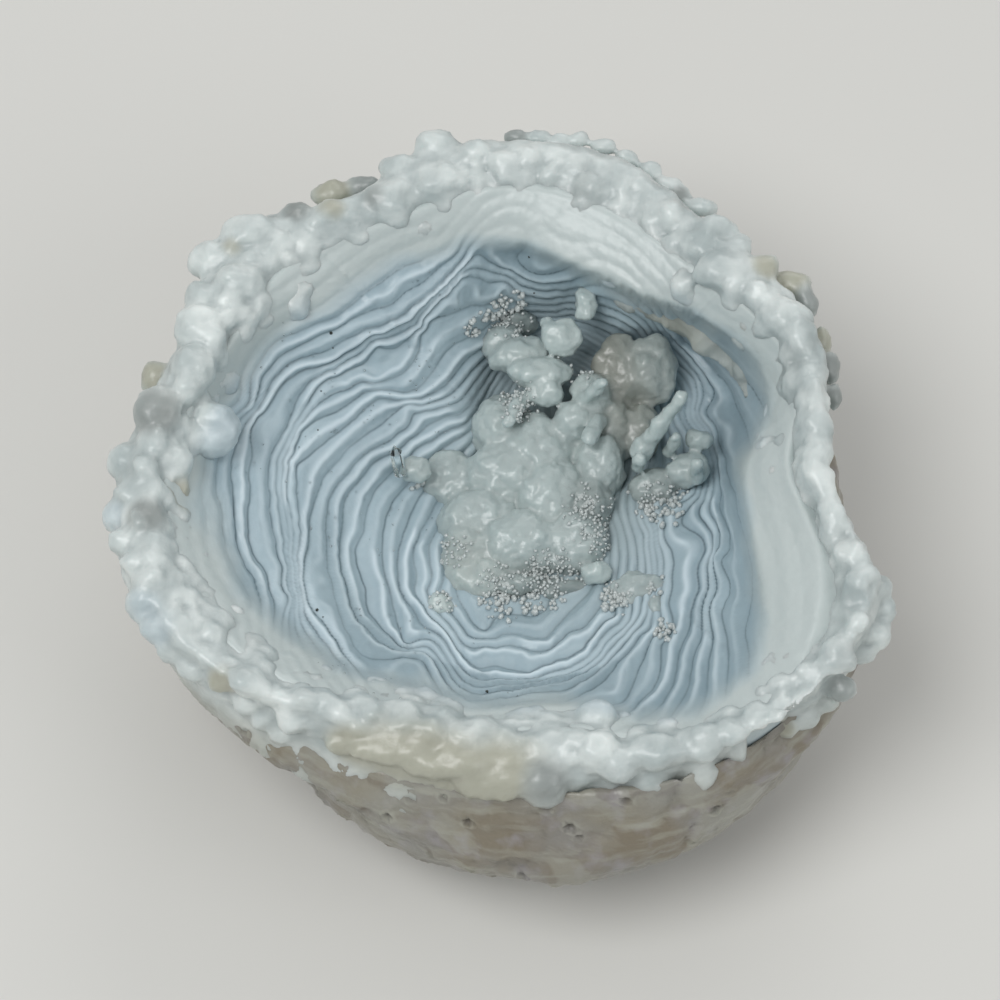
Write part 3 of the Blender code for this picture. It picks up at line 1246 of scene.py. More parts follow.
@dataclass
class BandedLining:
    """The bowl's blue lining: terraces with rounded lips and sharp creases.

    A step is an outline round the bowl, in pixels from BOWL_CENTRE every 20 degrees, and the heights follow
    the steps inwards. Layers of hills are a height, a size in pixels and a seed.
    """

    view: PhotoView
    side: int = 302
    reach: float = 0.82
    wall: float = 2.6
    first_step: Steps = (
        200, 238, 222, 203, 203, 222, 205, 217, 270, 300, 303, 285, 258, 238, 232, 268, 272, 222)
    second_step: Steps = (
        195, 225, 212, 181, 181, 185, 170, 184, 223, 240, 256, 255, 242, 225, 220, 250, 250, 212)
    third_step: Steps = (
        188, 208, 195, 155, 155, 150, 125, 108, 130, 158, 210, 226, 219, 216, 211, 206, 208, 190)
    lowest_step: Steps = (
        172, 185, 170, 130, 121, 125, 100, 76, 72, 115, 150, 165, 165, 150, 140, 125, 105, 90)
    floor_share: float = 0.55
    first_drop: float = 4.5
    second_height: float = 24.5
    third_height: float = 18.0
    lowest_height: float = 14.5
    floor_height: float = 11.5
    floor_rise: float = 0.8
    rim_shares: Steps = (0.3, 0.62, 1.0)
    rim_climbs: Steps = (0.4, 0.75, 0.3)
    height_blur: int = 6
    normal_blur: int = 4
    sway: Layers = ((3.0, 55, 11), (1.6, 20, 12), (0.7, 8, 13))
    lift: Layers = ((3.0, 50, 21), (1.6, 18, 22), (0.7, 7, 23))
    bold_reach: float = 9.0
    roll_share: float = 0.3
    roll_limits: tuple[float, float] = (0.06, 0.42)
    lip_height: float = 0.3
    lip_width: float = 0.55
    fine_lines: float = 3.0
    fine_height: float = 0.1
    rough_height: float = 0.06
    rough_size: float = 1.1
    core: tuple[float, float] = (560, 470)
    core_halves: tuple[float, float] = (85, 120)
    surface: Shape = field(init=False)

    def _grid(self) -> tuple[Array, Array]:
        """Lays a square grid over the round mouth.

        Returns:
            Each grid point's angle, and its distance from the middle as a share of the whole.
        """
        line = np.linspace(-1, 1, self.side)
        across, up = np.meshgrid(line, line, indexing="xy")
        wide = np.abs(across) > np.abs(up)
        safe_across = np.where(across == 0, 1e-9, across)
        safe_up = np.where(up == 0, 1e-9, up)
        reach = np.where(wide, across, up)
        turn = np.where(wide, math.pi / 4 * up / safe_across, math.pi / 2 - math.pi / 4 * across / safe_up)
        x, y = reach * np.cos(turn), reach * np.sin(turn)
        return np.arctan2(y, x), np.hypot(x, y)

    def _heights(self, angles: Array, radii: Array) -> Array:
        """Reads the height of the bowl without its bands.

        Args:
            angles: in radians about the middle of the bowl.
            radii: pixels from the middle.

        Returns:
            The heights.
        """
        mouth, rim = around(MOUTH_PIXELS, angles), around(CREST_PIXELS, angles)
        mouth_height = around(MOUTH_HEIGHTS, angles)
        climb = around(RIM_HEIGHTS, angles) - mouth_height
        lowest = around(self.lowest_step, angles)
        loops = [
            (np.zeros_like(mouth), self.floor_height),
            (self.floor_share * lowest, self.floor_height + self.floor_rise),
            (lowest, self.lowest_height),
            (around(self.third_step, angles), self.third_height),
            (around(self.second_step, angles), self.second_height),
            (around(self.first_step, angles), mouth_height - self.first_drop),
            (mouth, mouth_height),
        ]
        for share, risen in zip(self.rim_shares, self.rim_climbs):
            loops.append((mouth + share * (rim - mouth), mouth_height + risen * climb))
        result = np.full_like(mouth, self.floor_height)
        for (low, low_height), (high, high_height) in zip(loops, loops[1:]):
            share = (radii - low) / np.maximum(high - low, 1.0)
            result = np.where(radii >= low, low_height + share * (high_height - low_height), result)
        return result

    @staticmethod
    def _blurred(values: Array, rounds: int) -> Array:
        """Smooths values on the grid.

        Args:
            values: one for each point of the grid.
            rounds: how many times each takes in its neighbours.

        Returns:
            The smoothed values.
        """
        for _ in range(rounds):
            padded = np.pad(values, 1, mode="edge")
            sides = padded[:-2, 1:-1] + padded[2:, 1:-1] + padded[1:-1, :-2] + padded[1:-1, 2:]
            values = 0.5 * values + 0.125 * sides
        return values

    def _boldness(self, x: Array, y: Array, count: Array) -> Array:
        """Reads how far the nearest lip stands out.

        Args:
            x: pixels from the left.
            y: pixels from the top.
            count: the bands' count there.

        Returns:
            0 for a lip that can't be seen, to 1.
        """
        best = np.zeros(len(x))
        for ridge in RIDGES:
            if ridge.bold == 0:
                continue
            near = np.full(len(x), np.inf)
            for (x0, y0), (x1, y1) in zip(ridge.trace, ridge.trace[1:]):
                dx, dy = x1 - x0, y1 - y0
                share = np.clip(((x - x0) * dx + (y - y0) * dy) / (dx * dx + dy * dy), 0, 1)
                near = np.minimum(near, np.hypot(x - x0 - share * dx, y - y0 - share * dy))
            same = np.clip(1.5 - 2 * np.abs(count - ridge.level), 0, 1)
            best = np.maximum(best, ridge.bold * same * np.exp(-((near / self.bold_reach) ** 2)))
        return best

    def _outward(self, base: Array) -> Array:
        """Gives the smooth bowl's directions towards the camera's side.

        Args:
            base: the places of the grid's points.

        Returns:
            One direction of length 1 for each.
        """
        along, across = np.gradient(base, axis=(0, 1))
        normal = np.cross(across, along)
        normal /= np.linalg.norm(normal, axis=2)[..., None]
        facing = np.sign(np.sum(normal * (self.view.eye - base), axis=2))[..., None]
        normal = normal * facing
        smooth = np.dstack([self._blurred(normal[..., axis], self.normal_blur) for axis in range(3)])
        return smooth / np.linalg.norm(smooth, axis=2)[..., None]

    def build(self) -> tuple[Shape, dict[str, Array]]:
        """Shapes the lining.

        Returns:
            The closed shape, and the numbers that its finish reads.
        """
        angles, shares = self._grid()
        mouth = around(MOUTH_PIXELS, angles)
        radii = shares * (mouth + self.reach * (around(CREST_PIXELS, angles) - mouth))
        out = (radii / mouth).ravel()
        x, y = ring_pixels(angles, radii)
        heights = self._blurred(self._heights(angles, radii), self.height_blur)
        base = self.view.at_height(x.ravel(), y.ravel(), heights.ravel()).reshape(self.side, self.side, 3)

        # The bands, and how wide and how bold each is.
        flat = np.column_stack([x.ravel(), y.ravel()])
        swayed, lifted = flat[:, 0] + hills(flat, self.sway), flat[:, 1] + hills(flat, self.lift)
        count = PhaseField(RIDGES).at(swayed, lifted)
        level = np.round(count)
        off = np.abs(count - level)
        width = self._widths(base, count.reshape(self.side, self.side)).ravel()
        whim = wander(np.column_stack([flat / 60, level * 5.3]), 1.0, seed=31)
        bold = np.maximum(self._boldness(swayed, lifted, count), 0.28 + 0.22 * whim)

        # The relief: a roll from crease to crease, the lips on it, fine lines on wide bands, and roughness.
        roll = np.clip(self.roll_share * width * (0.55 + 0.6 * bold), *self.roll_limits)
        fade = np.clip((1.03 - out) / 0.1, 0, 1)
        slope = 2 * off
        lips = self.lip_height * bold * np.exp(-((off * width / self.lip_width) ** 2))
        relief = roll * (1 - slope**2.4) + lips
        fine = np.abs(((count * self.fine_lines + 0.5 * wander(flat, 30, seed=41)) % 1.0) - 0.5) * 2
        wide = np.clip((width - 1.2) / 1.5, 0, 1)
        relief += self.fine_height * wide * (1 - fine**2)
        relief *= 0.25 + 0.75 * fade
        relief += self.rough_height * wander(base.reshape(-1, 3), self.rough_size, seed=51, octaves=2)
        points = base.reshape(-1, 3) + self._outward(base).reshape(-1, 3) * relief[:, None]

        # What the finish reads.
        # The crease lines' painted shade, stronger under bolder lips.
        crease_shade = np.clip(0.2 + bold + 0.3 * whim, 0, 1) * np.clip((width - 0.5) / 0.8, 0.05, 1) * fade
        band_tone = wander(np.column_stack([flat / 90, level * 3.1]), 1.0, seed=61)
        tone = 0.45 + 0.4 * band_tone + 0.25 * (1 - slope)
        tone += 0.15 * wide * (fine - 0.5)
        white_start = 0.95 + 0.03 * wander(flat, 40, seed=71, octaves=2)
        away = [((flat[:, axis] - self.core[axis]) / self.core_halves[axis]) ** 2 for axis in (0, 1)]
        grey = np.exp(-(away[0] + away[1]) * 1.2)
        carried = {"lip": bold * fade, "crease_shade": crease_shade, "tone": tone,
                   "white": np.clip((out - white_start) / 0.08, 0, 1), "grey": np.clip(grey, 0, 1),
                   "count": count, "broad": width}
        self.surface = self._surface(points)
        return self._closed(points), {name: self._padded(values) for name, values in carried.items()}

    @staticmethod
    def _widths(base: Array, count: Array) -> Array:
        """Measures how wide the bands are.

        Args:
            base: the places of the grid's points.
            count: the bands' count at each.

        Returns:
            The widths in millimetres along the surface.
        """
        p_row, p_col = np.gradient(base, axis=(0, 1))
        c_row, c_col = np.gradient(count)
        e, f, g = (np.sum(a * b, axis=2) for a, b in ((p_row, p_row), (p_row, p_col), (p_col, p_col)))
        slope = (g * c_row**2 - 2 * f * c_row * c_col + e * c_col**2) / np.maximum(e * g - f * f, 1e-9)
        return 1 / np.sqrt(np.maximum(slope, 0.02))

    def _surface(self, points: Array) -> Shape:
        """Gives the open upper surface, for what stands on it.

        Args:
            points: the grid's points.

        Returns:
            The surface.
        """
        n = self.side
        corner = (np.arange(n - 1)[:, None] * n + np.arange(n - 1)[None]).ravel()
        quads = np.column_stack([corner, corner + 1, corner + n + 1, corner + n])
        return Shape(points, [tuple(quad) for quad in quads.tolist()])

    def _closed(self, points: Array) -> Shape:
        """Closes the surface with a plain back that stays inside the rind.

        Args:
            points: the grid's points.

        Returns:
            The closed shape, with the back's points after the grid's.
        """
        n = self.side
        faces = list(self.surface.faces)
        edge = list(range(n)) + [row * n + n - 1 for row in range(1, n)]
        edge += [(n - 1) * n + column for column in range(n - 2, -1, -1)]
        edge += [row * n for row in range(n - 2, 0, -1)]
        turn = np.arctan2(points[edge, 1] - NECK_CENTRE[1], points[edge, 0] - NECK_CENTRE[0])
        rings, previous, total = [], edge, len(points)
        for centre, outline, height in BACKING:
            rings.append(level_ring(centre, turn, around(outline, turn) - self.wall, height))
            here = list(range(total, total + len(edge)))
            for index in range(len(edge)):
                after = (index + 1) % len(edge)
                faces.append((previous[after], previous[index], here[index], here[after]))
            previous, total = here, total + len(edge)
        rings.append(np.array([HIDDEN_MIDDLE]))
        for index in range(len(edge)):
            faces.append((previous[(index + 1) % len(edge)], previous[index], total))
        return Shape(np.vstack([points] + rings), faces)

    def _padded(self, values: Array) -> Array:
        """Adds zeros for the points of the back."""
        return np.concatenate([values, np.zeros(len(BACKING) * 4 * (self.side - 1) + 1)])

    def make(self) -> bpy.types.Object:
        """Makes the finished piece."""
        shape, carried = self.build()
        return finished("banded_lining", shape, BandedBlue().material(), carried)


class Tint(Enum):
    """How a lump of the crust differs from the white around it."""

    NONE = "none"
    WARM = "warm"
    GREY = "grey"
    BLUE = "blue"


@dataclass(frozen=True)
class Lobe:
    """A lump of the rim at a pixel of the photograph.

    Its half width and half height are pixels too, and it stands out of the rim by rise, in millimetres.
    """

    x: float
    y: float
    wide: float
    high: float
    tint: Tint = Tint.NONE
    rise: float = 0.0


RIM_LOBES = tuple(Lobe(*numbers) for numbers in (
    (200, 328, 25, 24), (192, 366, 24, 22), (222, 378, 17, 18), (214, 430, 26, 27), (184, 436, 20, 20),
    (166, 462, 27, 22), (124, 462, 18, 19), (154, 376, 15, 18, Tint.WARM), (156, 412, 22, 26, Tint.GREY),
    (250, 234, 30, 22), (212, 262, 26, 24), (236, 284, 24, 20), (248, 297, 8, 12), (204, 300, 22, 18),
    (232, 248, 12, 12, Tint.WARM), (296, 266, 28, 12), (334, 268, 30, 15), (352, 278, 13, 10),
    (368, 262, 18, 14), (300, 244, 30, 14), (300, 286, 17, 13, Tint.NONE, 1.5),
    (297, 304, 16, 18, Tint.NONE, 3.0), (292, 324, 15, 15, Tint.NONE, 4.5), (322, 226, 26, 16),
    (352, 232, 22, 18), (334, 194, 24, 14, Tint.WARM), (364, 186, 18, 11, Tint.GREY),
    (376, 198, 13, 14, Tint.GREY), (330, 210, 16, 11, Tint.WARM), (298, 212, 16, 10, Tint.GREY),
    (398, 168, 22, 14), (392, 206, 26, 28), (436, 146, 22, 18), (440, 184, 30, 26), (420, 222, 26, 22),
    (476, 152, 15, 13), (474, 184, 14, 26), (500, 164, 14, 15), (515, 138, 14, 9, Tint.GREY),
    (538, 138, 13, 9), (560, 142, 12, 9), (580, 140, 11, 9), (603, 146, 13, 9), (628, 158, 13, 10),
    (650, 170, 13, 10), (668, 186, 14, 10), (678, 196, 12, 12, Tint.GREY), (700, 207, 19, 12),
    (716, 232, 22, 16), (738, 246, 15, 12), (668, 214, 24, 14), (690, 286, 24, 22, Tint.NONE, 1.0),
    (722, 270, 26, 22, Tint.NONE, 1.0), (738, 284, 20, 26), (712, 302, 24, 14),
    (764, 268, 16, 15, Tint.WARM), (790, 284, 24, 12, Tint.WARM), (806, 300, 12, 20, Tint.GREY),
    (786, 318, 28, 20), (772, 326, 20, 16), (800, 338, 18, 20), (748, 334, 15, 17, Tint.WARM),
    (728, 322, 13, 12), (794, 354, 18, 18), (802, 384, 22, 22), (812, 404, 20, 20),
    (822, 342, 10, 18, Tint.WARM), (830, 368, 10, 18, Tint.GREY), (834, 398, 8, 14, Tint.GREY),
    (818, 430, 17, 20), (818, 456, 16, 18), (824, 482, 14, 16), (830, 506, 13, 16), (836, 528, 15, 16),
    (850, 556, 17, 17), (864, 578, 18, 12), (880, 588, 13, 13), (886, 610, 11, 13), (878, 634, 15, 14),
    (858, 652, 18, 12), (836, 664, 20, 12), (812, 672, 20, 12), (790, 684, 20, 11), (768, 698, 14, 12),
    (842, 688, 15, 13, Tint.GREY), (822, 702, 18, 12), (802, 716, 18, 12), (784, 726, 14, 12, Tint.WARM),
    (738, 726, 16, 10), (736, 746, 12, 15), (726, 766, 14, 14), (702, 744, 22, 18), (698, 768, 20, 20),
    (688, 796, 18, 14), (664, 802, 16, 12), (642, 782, 24, 16), (656, 752, 28, 18), (610, 792, 20, 20),
    (586, 800, 17, 16), (598, 722, 20, 21, Tint.NONE, 1.5), (596, 752, 22, 18), (620, 764, 20, 18),
    (552, 730, 26, 15), (512, 730, 28, 14), (470, 732, 28, 14), (438, 722, 26, 15), (400, 716, 28, 15),
    (362, 710, 26, 15), (326, 708, 22, 15), (292, 716, 18, 18), (284, 734, 14, 10), (264, 718, 14, 12),
    (248, 704, 14, 12), (252, 684, 18, 14), (222, 682, 16, 12, Tint.WARM), (192, 668, 18, 13),
    (174, 652, 16, 11), (158, 630, 20, 16, Tint.BLUE), (144, 604, 18, 17, Tint.BLUE), (150, 580, 16, 15),
    (134, 562, 15, 11), (124, 542, 17, 14), (116, 516, 14, 17, Tint.BLUE), (124, 494, 12, 11),
    (148, 516, 14, 20, Tint.GREY), (162, 548, 14, 12), (182, 572, 13, 14), (204, 596, 13, 12),
    (228, 614, 16, 10), (150, 490, 18, 14), (178, 496, 14, 22, Tint.WARM), (396, 752, 44, 12, Tint.WARM),
    (450, 764, 46, 16, Tint.WARM), (500, 778, 46, 22, Tint.WARM), (540, 782, 28, 26, Tint.GREY),
    (350, 744, 26, 11, Tint.WARM),
))


@dataclass
class WhiteRim:
    """The white crust that folds over the edge of the bowl.

    It dips about dip_turn. A lobe's depth is deep_share of its smaller side plus deep_more, and it is sunk
    in the crust by a share of that. Small nodules begin at nodule_height.
    """

    view: PhotoView
    scatter: Scatter
    grain: float = 0.475
    steps: int = 180
    rows_between: int = 4
    dip_turn: float = math.radians(345)
    dip_width: float = 0.45
    edge_inset: float = 8.0
    edge_drop: float = 4.5
    neck_height: float = 25.0
    swell: float = 1.02
    deep_share: float = 0.75
    deep_more: float = 0.5
    sunk: float = 0.45
    lobe_relief: float = 0.16
    nodule_height: float = 24.0
    small_nodules: Sowing = Sowing(per_area=0.16, sizes=(0.9, 2.3), flatness=0.7, lean=0.3, seed=3)
    tiny_nodules: Sowing = Sowing(per_area=0.3, sizes=(0.5, 1.1), flatness=0.75, lean=0.3, seed=4)

    def _loops(self) -> Array:
        """Gives the crust's cross-sections.

        Returns:
            Places by loop and by step, from under the lining, over the crest and down the outside.
        """
        angles = np.linspace(0, 2 * math.pi, self.steps, endpoint=False)
        mouth, crest = around(MOUTH_PIXELS, angles), around(CREST_PIXELS, angles)
        low, high = around(MOUTH_HEIGHTS, angles), around(RIM_HEIGHTS, angles)
        from_dip = (angles - self.dip_turn + math.pi) % (2 * math.pi) - math.pi
        dip = np.exp(-(from_dip / self.dip_width) ** 2)

        def seen(radii: Array, heights: Array) -> Array:
            """Places a loop that the photograph shows at these distances."""
            return self.view.at_height(*ring_pixels(angles, radii), heights)

        top = seen(crest, high)
        inner = seen(1.04 * mouth, low - 1.8)
        lip = seen(around(EDGE_PIXELS, angles) - self.edge_inset, high - around(EDGE_DROPS, angles))
        rounding = np.array([0, 0, 0.7]) * (high - lip[:, 2])[:, None]
        turn = np.arctan2(lip[:, 1] - RIM_CENTRE[1], lip[:, 0] - RIM_CENTRE[0])
        neck = around(NECK_RADII, turn)
        neck_loop = level_ring(RIM_CENTRE, turn, neck, self.neck_height)
        middle, tucked = np.array([*RIM_CENTRE, 0]), np.array([*RIM_CENTRE, -8.0])
        return np.array([
            seen(1.08 * mouth, low - 6.0),
            seen(1.05 * mouth, low - 3.6),
            inner,
            seen(mouth + 0.3 * (crest - mouth), low + 0.4 * (high - low) - 1.8),
            seen(mouth + 0.65 * (crest - mouth), low + (0.78 - 0.2 * dip) * (high - low) - 0.7),
            top,
            0.4 * top + 0.6 * (lip + rounding),
            lip,
            0.75 * lip + 0.25 * neck_loop,
            0.3 * lip + 0.7 * neck_loop,
            level_ring(RIM_CENTRE, turn, neck - 0.6, self.neck_height + 0.2),
            level_ring(RIM_CENTRE, turn, neck - 4.0, self.neck_height - 1.5),
            (inner - middle) * np.array([1.05, 1.05, 1]) + tucked,
        ])

    def _ring(self) -> Shape:
        """Shapes the crust's plain body.

        Returns:
            A closed ring, with smooth curves between its cross-sections' loops.
        """
        given = self._loops()
        count = len(given)
        near = [[given[(index + offset) % count] for offset in (-1, 0, 1, 2)] for index in range(count)]
        shares = [step / self.rows_between for step in range(self.rows_between)]
        loops = np.array([smooth_step(*four, share) for four in near for share in shares])
        rows, columns = loops.shape[:2]
        faces = []
        for row in range(rows):
            here, below = row * columns, (row + 1) % rows * columns
            for column in range(columns):
                after = (column + 1) % columns
                faces.append((here + column, here + after, below + after, below + column))
        return Shape(loops.reshape(-1, 3), faces)

    def _lobes(self, ring: Shape) -> tuple[list[Shape], list[tuple[Array, float, Tint]]]:
        """Places the lumps on the ring where the photograph shows them.

        Args:
            ring: the crust's plain body.

        Returns:
            The lumps, and the middle, the reach and the tint of the patch that each makes.
        """
        tree = BVHTree.FromPolygons(ring.points.tolist(), ring.faces)
        scale = self.view.breadth / PHOTO_SIDE
        sphere = ball(3)
        shapes, marks = [], []
        for lobe in RIM_LOBES:
            place = self.view.hit(tree, lobe.x, lobe.y)
            if place is None:
                angle = math.atan2(BOWL_CENTRE[1] - lobe.y, lobe.x - BOWL_CENTRE[0])
                height = float(around(RIM_HEIGHTS, np.array([angle]))[0]) - self.edge_drop
                place = self.view.at_height(lobe.x, lobe.y, height)[0]
            look = self.view.look_at(place)
            wide, high = lobe.wide * scale, lobe.high * scale
            small = min(wide, high)
            deep = self.deep_share * small + self.deep_more
            centre = place + look * (self.sunk * deep - lobe.rise)
            points = self.view.stretched(sphere, look, (wide, high, deep), self.swell)
            outward = points / np.linalg.norm(points, axis=1)[:, None]
            rough = wander(points + centre, 0.9 * small, seed=5)[:, None]
            points += self.lobe_relief * small * rough * outward
            shapes.append(Shape(points + centre, sphere.faces))
            marks.append((centre - look * 0.5 * deep, 0.9 * max(wide, high), lobe.tint))
        return shapes, marks

    def _nodules(self, ring: Shape) -> Shape:
        """Sows small rounded lumps over the outside of the ring.

        Args:
            ring: the crust's plain body.

        Returns:
            The lumps.
        """
        normals = normals_of(ring)
        away = ring.points[:, :2] - np.array(RIM_CENTRE)
        outward = np.sum(normals[:, :2] * away, axis=1) / np.linalg.norm(away, axis=1)
        above = np.clip((ring.points[:, 2] - self.nodule_height) / 3, 0, 1)
        sown = np.clip(outward * 2 - 0.4, 0, 1) * above
        small, tiny = (self.scatter.sow(ring, sown, ball(2), how)
                       for how in (self.small_nodules, self.tiny_nodules))
        return small.joined([tiny])

    def make(self) -> bpy.types.Object:
        """Makes the finished piece."""
        ring = self._ring()
        lobes, marks = self._lobes(ring)
        skin = fused(ring.joined(lobes + [self._nodules(ring)]), self.grain)
        skin = relaxed(skin, 2, 0.5)
        push = (0.3 * wander(skin.points, 2.2, seed=81, octaves=3)
                + 0.08 * wander(skin.points, 0.9, seed=82, octaves=2))
        skin = Shape(skin.points + normals_of(skin) * push[:, None], skin.faces)
        return finished("white_rim", skin, WhiteCrust().material(), self._patches(skin, marks))

    def _patches(self, skin: Shape, marks: list[tuple[Array, float, Tint]]) -> dict[str, Array]:
        """Works out where the crust is warm, grey or blue, and where shade is painted on it.

        Args:
            skin: the crust's surface.
            marks: the middle, the reach and the tint of each lobe's patch.

        Returns:
            The numbers that its finish reads.
        """
        patches = {tint: np.zeros(len(skin.points)) for tint in Tint}
        total = np.full(len(skin.points), 0.15)
        for centre, reach, tint in marks:
            near = np.exp(-((np.linalg.norm(skin.points - centre, axis=1) / reach) ** 2) * 2.0)
            patches[tint] += near
            total += near
        shares = {tint: np.clip(1.5 * patches[tint] / total - 0.1, 0, 1) for tint in Tint}
        z = skin.points[:, 2]
        low = np.clip((33.0 - z) / 6, 0, 1)
        noise = wander(skin.points, 6.0, seed=91, octaves=2)
        warm = np.clip(shares[Tint.WARM] * 0.9 + low * (0.45 + 0.4 * noise), 0, 1)
        grey = np.clip(shares[Tint.GREY] * 0.85 + 0.35 * np.clip(noise - 0.35, 0, 1) + 0.25 * low, 0, 1)

        # The inner slope between mouth and crest, which is bluer below and has painted shade at the right
        # and the back.
        x, y = self.view.pixels(skin.points)
        angle = np.arctan2(BOWL_CENTRE[1] - y, x - BOWL_CENTRE[0])
        radius = np.hypot(x - BOWL_CENTRE[0], BOWL_CENTRE[1] - y)
        mouth, crest = around(MOUTH_PIXELS, angle), around(CREST_PIXELS, angle)
        share = (radius - mouth) / (crest - mouth)
        upper = z > 28
        slope = np.exp(-(((share - 0.45) / 0.32) ** 2)) * upper
        blue = np.clip(0.8 - 3.0 * share, 0, 1) * upper + 0.8 * shares[Tint.BLUE]
        right = np.clip(np.cos(angle + math.radians(10)) * 1.6 - 0.5, 0, 1)
        back = np.clip(np.sin(angle) * 1.6 - 0.6, 0, 1)
        painted_shade = np.clip(slope * (0.25 + right + 0.7 * back), 0, 1)

        # Painted shade: the grooves between the lumps are darker than the lumps.
        calm = relaxed(skin, 14, 0.6)
        bulge = np.sum((skin.points - calm.points) * normals_of(skin), axis=1)
        painted_shade = np.clip(0.6 * painted_shade + np.clip(0.05 - 2.6 * bulge, -0.3, 0.7), 0, 1)
        return {"warm": warm, "grey": grey, "blue": np.clip(0.5 * blue, 0, 1), "painted_shade": painted_shade}


@dataclass
class OuterShell:
    """The rough outside of the stone, from under the rim down to the flat spot that it rests on.

    Its knobs, fine knobs and pits are cells of these widths, and pits fall in the cells whose own number is
    over pit_share. Near the ground the relief fades out, within calm_height.
    """

    around_steps: int = 620
    rows: int = 150
    calm_height: float = 2.5
    bend: float = 0.8
    bend_size: float = 4.0
    knob_width: float = 5.5
    fine_width: float = 2.1
    pit_width: float = 3.0
    pit_share: float = 0.72
    ledge_stretch: Triple = (0.3, 0.3, 1.0)
    ledge_size: float = 3.2

    @staticmethod
    def _loops(turn: Array) -> Array:
        """Gives the outline at each height.

        Args:
            turn: the angles of its points, in radians.

        Returns:
            Places by loop and by angle, from the hidden top down to the flat spot.
        """
        neck, belly = around(NECK_RADII, turn), around(BELLY_RADII, turn)
        low = around(UNDERSIDE_RADII, turn)
        return np.array([
            level_ring(UNDERSIDE_CENTRE, turn, low - 3.0, 8.0),
            level_ring(BELLY_CENTRE, turn, belly - 2.2, 16.0),
            level_ring(NECK_CENTRE, turn, neck - 2.2, 26.0),
            level_ring(NECK_CENTRE, turn, neck - 2.5, 31.0),
            level_ring(NECK_CENTRE, turn, neck, NECK_HEIGHT),
            level_ring(BELLY_CENTRE, turn, belly + 0.3, 0.5 * (BELLY_HEIGHT + NECK_HEIGHT)),
            level_ring(BELLY_CENTRE, turn, belly, BELLY_HEIGHT),
            level_ring(UNDERSIDE_CENTRE, turn, 0.5 * (low + belly) + 0.7,
                       0.5 * (UNDERSIDE_HEIGHT + BELLY_HEIGHT)),
            level_ring(UNDERSIDE_CENTRE, turn, low, UNDERSIDE_HEIGHT),
            level_ring((1.0, 1.5), turn, REST_RADIUS + 9.5, 3.6),
            level_ring((0.0, 0.0), turn, REST_RADIUS + 4.0, 1.0),
            level_ring((0.0, 0.0), turn, REST_RADIUS, 0.0),
        ])

    def build(self) -> tuple[Shape, dict[str, Array]]:
        """Shapes the shell.

        Returns:
            The closed shape, and the numbers that its finish reads.
        """
        loops = self._loops(np.linspace(0, 2 * math.pi, self.around_steps, endpoint=False))
        count = len(loops)
        rows = []
        for row in range(self.rows):
            place = row / (self.rows - 1) * (count - 1)
            first = min(int(place), count - 2)
            before, last = loops[max(first - 1, 0)], loops[min(first + 2, count - 1)]
            rows.append(smooth_step(before, loops[first], loops[first + 1], last, place - first))
        smooth = np.array(rows).reshape(-1, 3)
        smooth[:, 2] = np.maximum(smooth[:, 2], 0.0)
        columns = self.around_steps
        faces = []
        for here in range(0, (self.rows - 1) * columns, columns):
            below = here + columns
            for column in range(columns):
                after = (column + 1) % columns
                faces.append((here + column, below + column, below + after, here + after))
        normals = normals_of(Shape(smooth, faces))
        relief, pits, pale = self._relief(smooth)
        calm = np.clip(smooth[:, 2] / self.calm_height, 0, 1)
        points = smooth + normals * (relief * calm)[:, None]
        points[:, 2] = np.where(smooth[:, 2] <= 0, 0.0, np.maximum(points[:, 2], 0.0))

        # The hidden top and the flat spot close on one point each.
        top, bottom = len(points), len(points) + 1
        points = np.vstack([points, [HIDDEN_MIDDLE], [[0.0, 0.0, 0.0]]])
        last_row = (self.rows - 1) * columns
        for column in range(columns):
            after = (column + 1) % columns
            faces.append((column, after, top))
            faces.append((last_row + after, last_row + column, bottom))
        carried = {"pit": np.append(pits, (0.0, 0.0)), "pale": np.append(pale, (0.0, 0.0))}
        return Shape(points, faces), carried

    def _relief(self, points: Array) -> tuple[Array, Array, Array]:
        """Works out the knobs, ledges and ring-shaped pits of the outside.

        Args:
            points: places on the smooth outside.

        Returns:
            How far each stands out, how dark it is in the pits and in the grooves between the knobs, and how
            pale it is.
        """
        shifts = [wander(points, self.bend_size, seed) for seed in (101, 102, 103)]
        bent = points + self.bend * np.column_stack(shifts)
        knob, which_knob = cobbled(bent, self.knob_width, 111)
        dome = np.sqrt(np.clip(1 - knob**2 * 1.3, 0, 1))
        fine, which_fine = cobbled(bent, self.fine_width, 121)
        small_dome = np.sqrt(np.clip(1 - fine**2 * 1.4, 0, 1))
        ledge = wander(points * np.array(self.ledge_stretch), self.ledge_size, seed=131, octaves=2)
        hole, which_hole = cobbled(bent, self.pit_width, 141)
        chosen = which_hole > self.pit_share
        ring = np.where(chosen, np.exp(-(((hole - 0.3) / 0.09) ** 2)), 0)
        inside = np.where(chosen, np.clip(1 - hole / 0.27, 0, 1) ** 0.5, 0)
        relief = 1.1 * (dome - 0.6) + 0.4 * (small_dome - 0.6) * (0.4 + which_fine) + 0.35 * ledge
        relief += 0.3 * ring - 0.7 * inside + 0.1 * wander(points, 0.8, seed=151, octaves=2)
        # Darker in the pits and in the grooves between the knobs.
        pits = np.clip(0.8 * inside + 0.5 * np.clip(0.55 - dome, 0, 1) + 0.25 * (0.5 - small_dome), 0, 1)
        pale = np.clip(0.55 * (which_knob - 0.35) + 0.3 * ring, 0, 0.7)
        return relief, pits, pale

    def make(self) -> bpy.types.Object:
        """Makes the finished piece."""
        shape, carried = self.build()
        return finished("outer_rind", shape, OuterRind().material(), carried)


@dataclass(frozen=True)
class Lump:
    """A rounded part of the growths: where the photograph shows it, how high it lies and its half sizes."""

    x: float
    y: float
    z: float
    wide: float
    high: float
    deep: float
    tone: float = 0.5
    warm: float = 0.0
    dark: float = 0.0


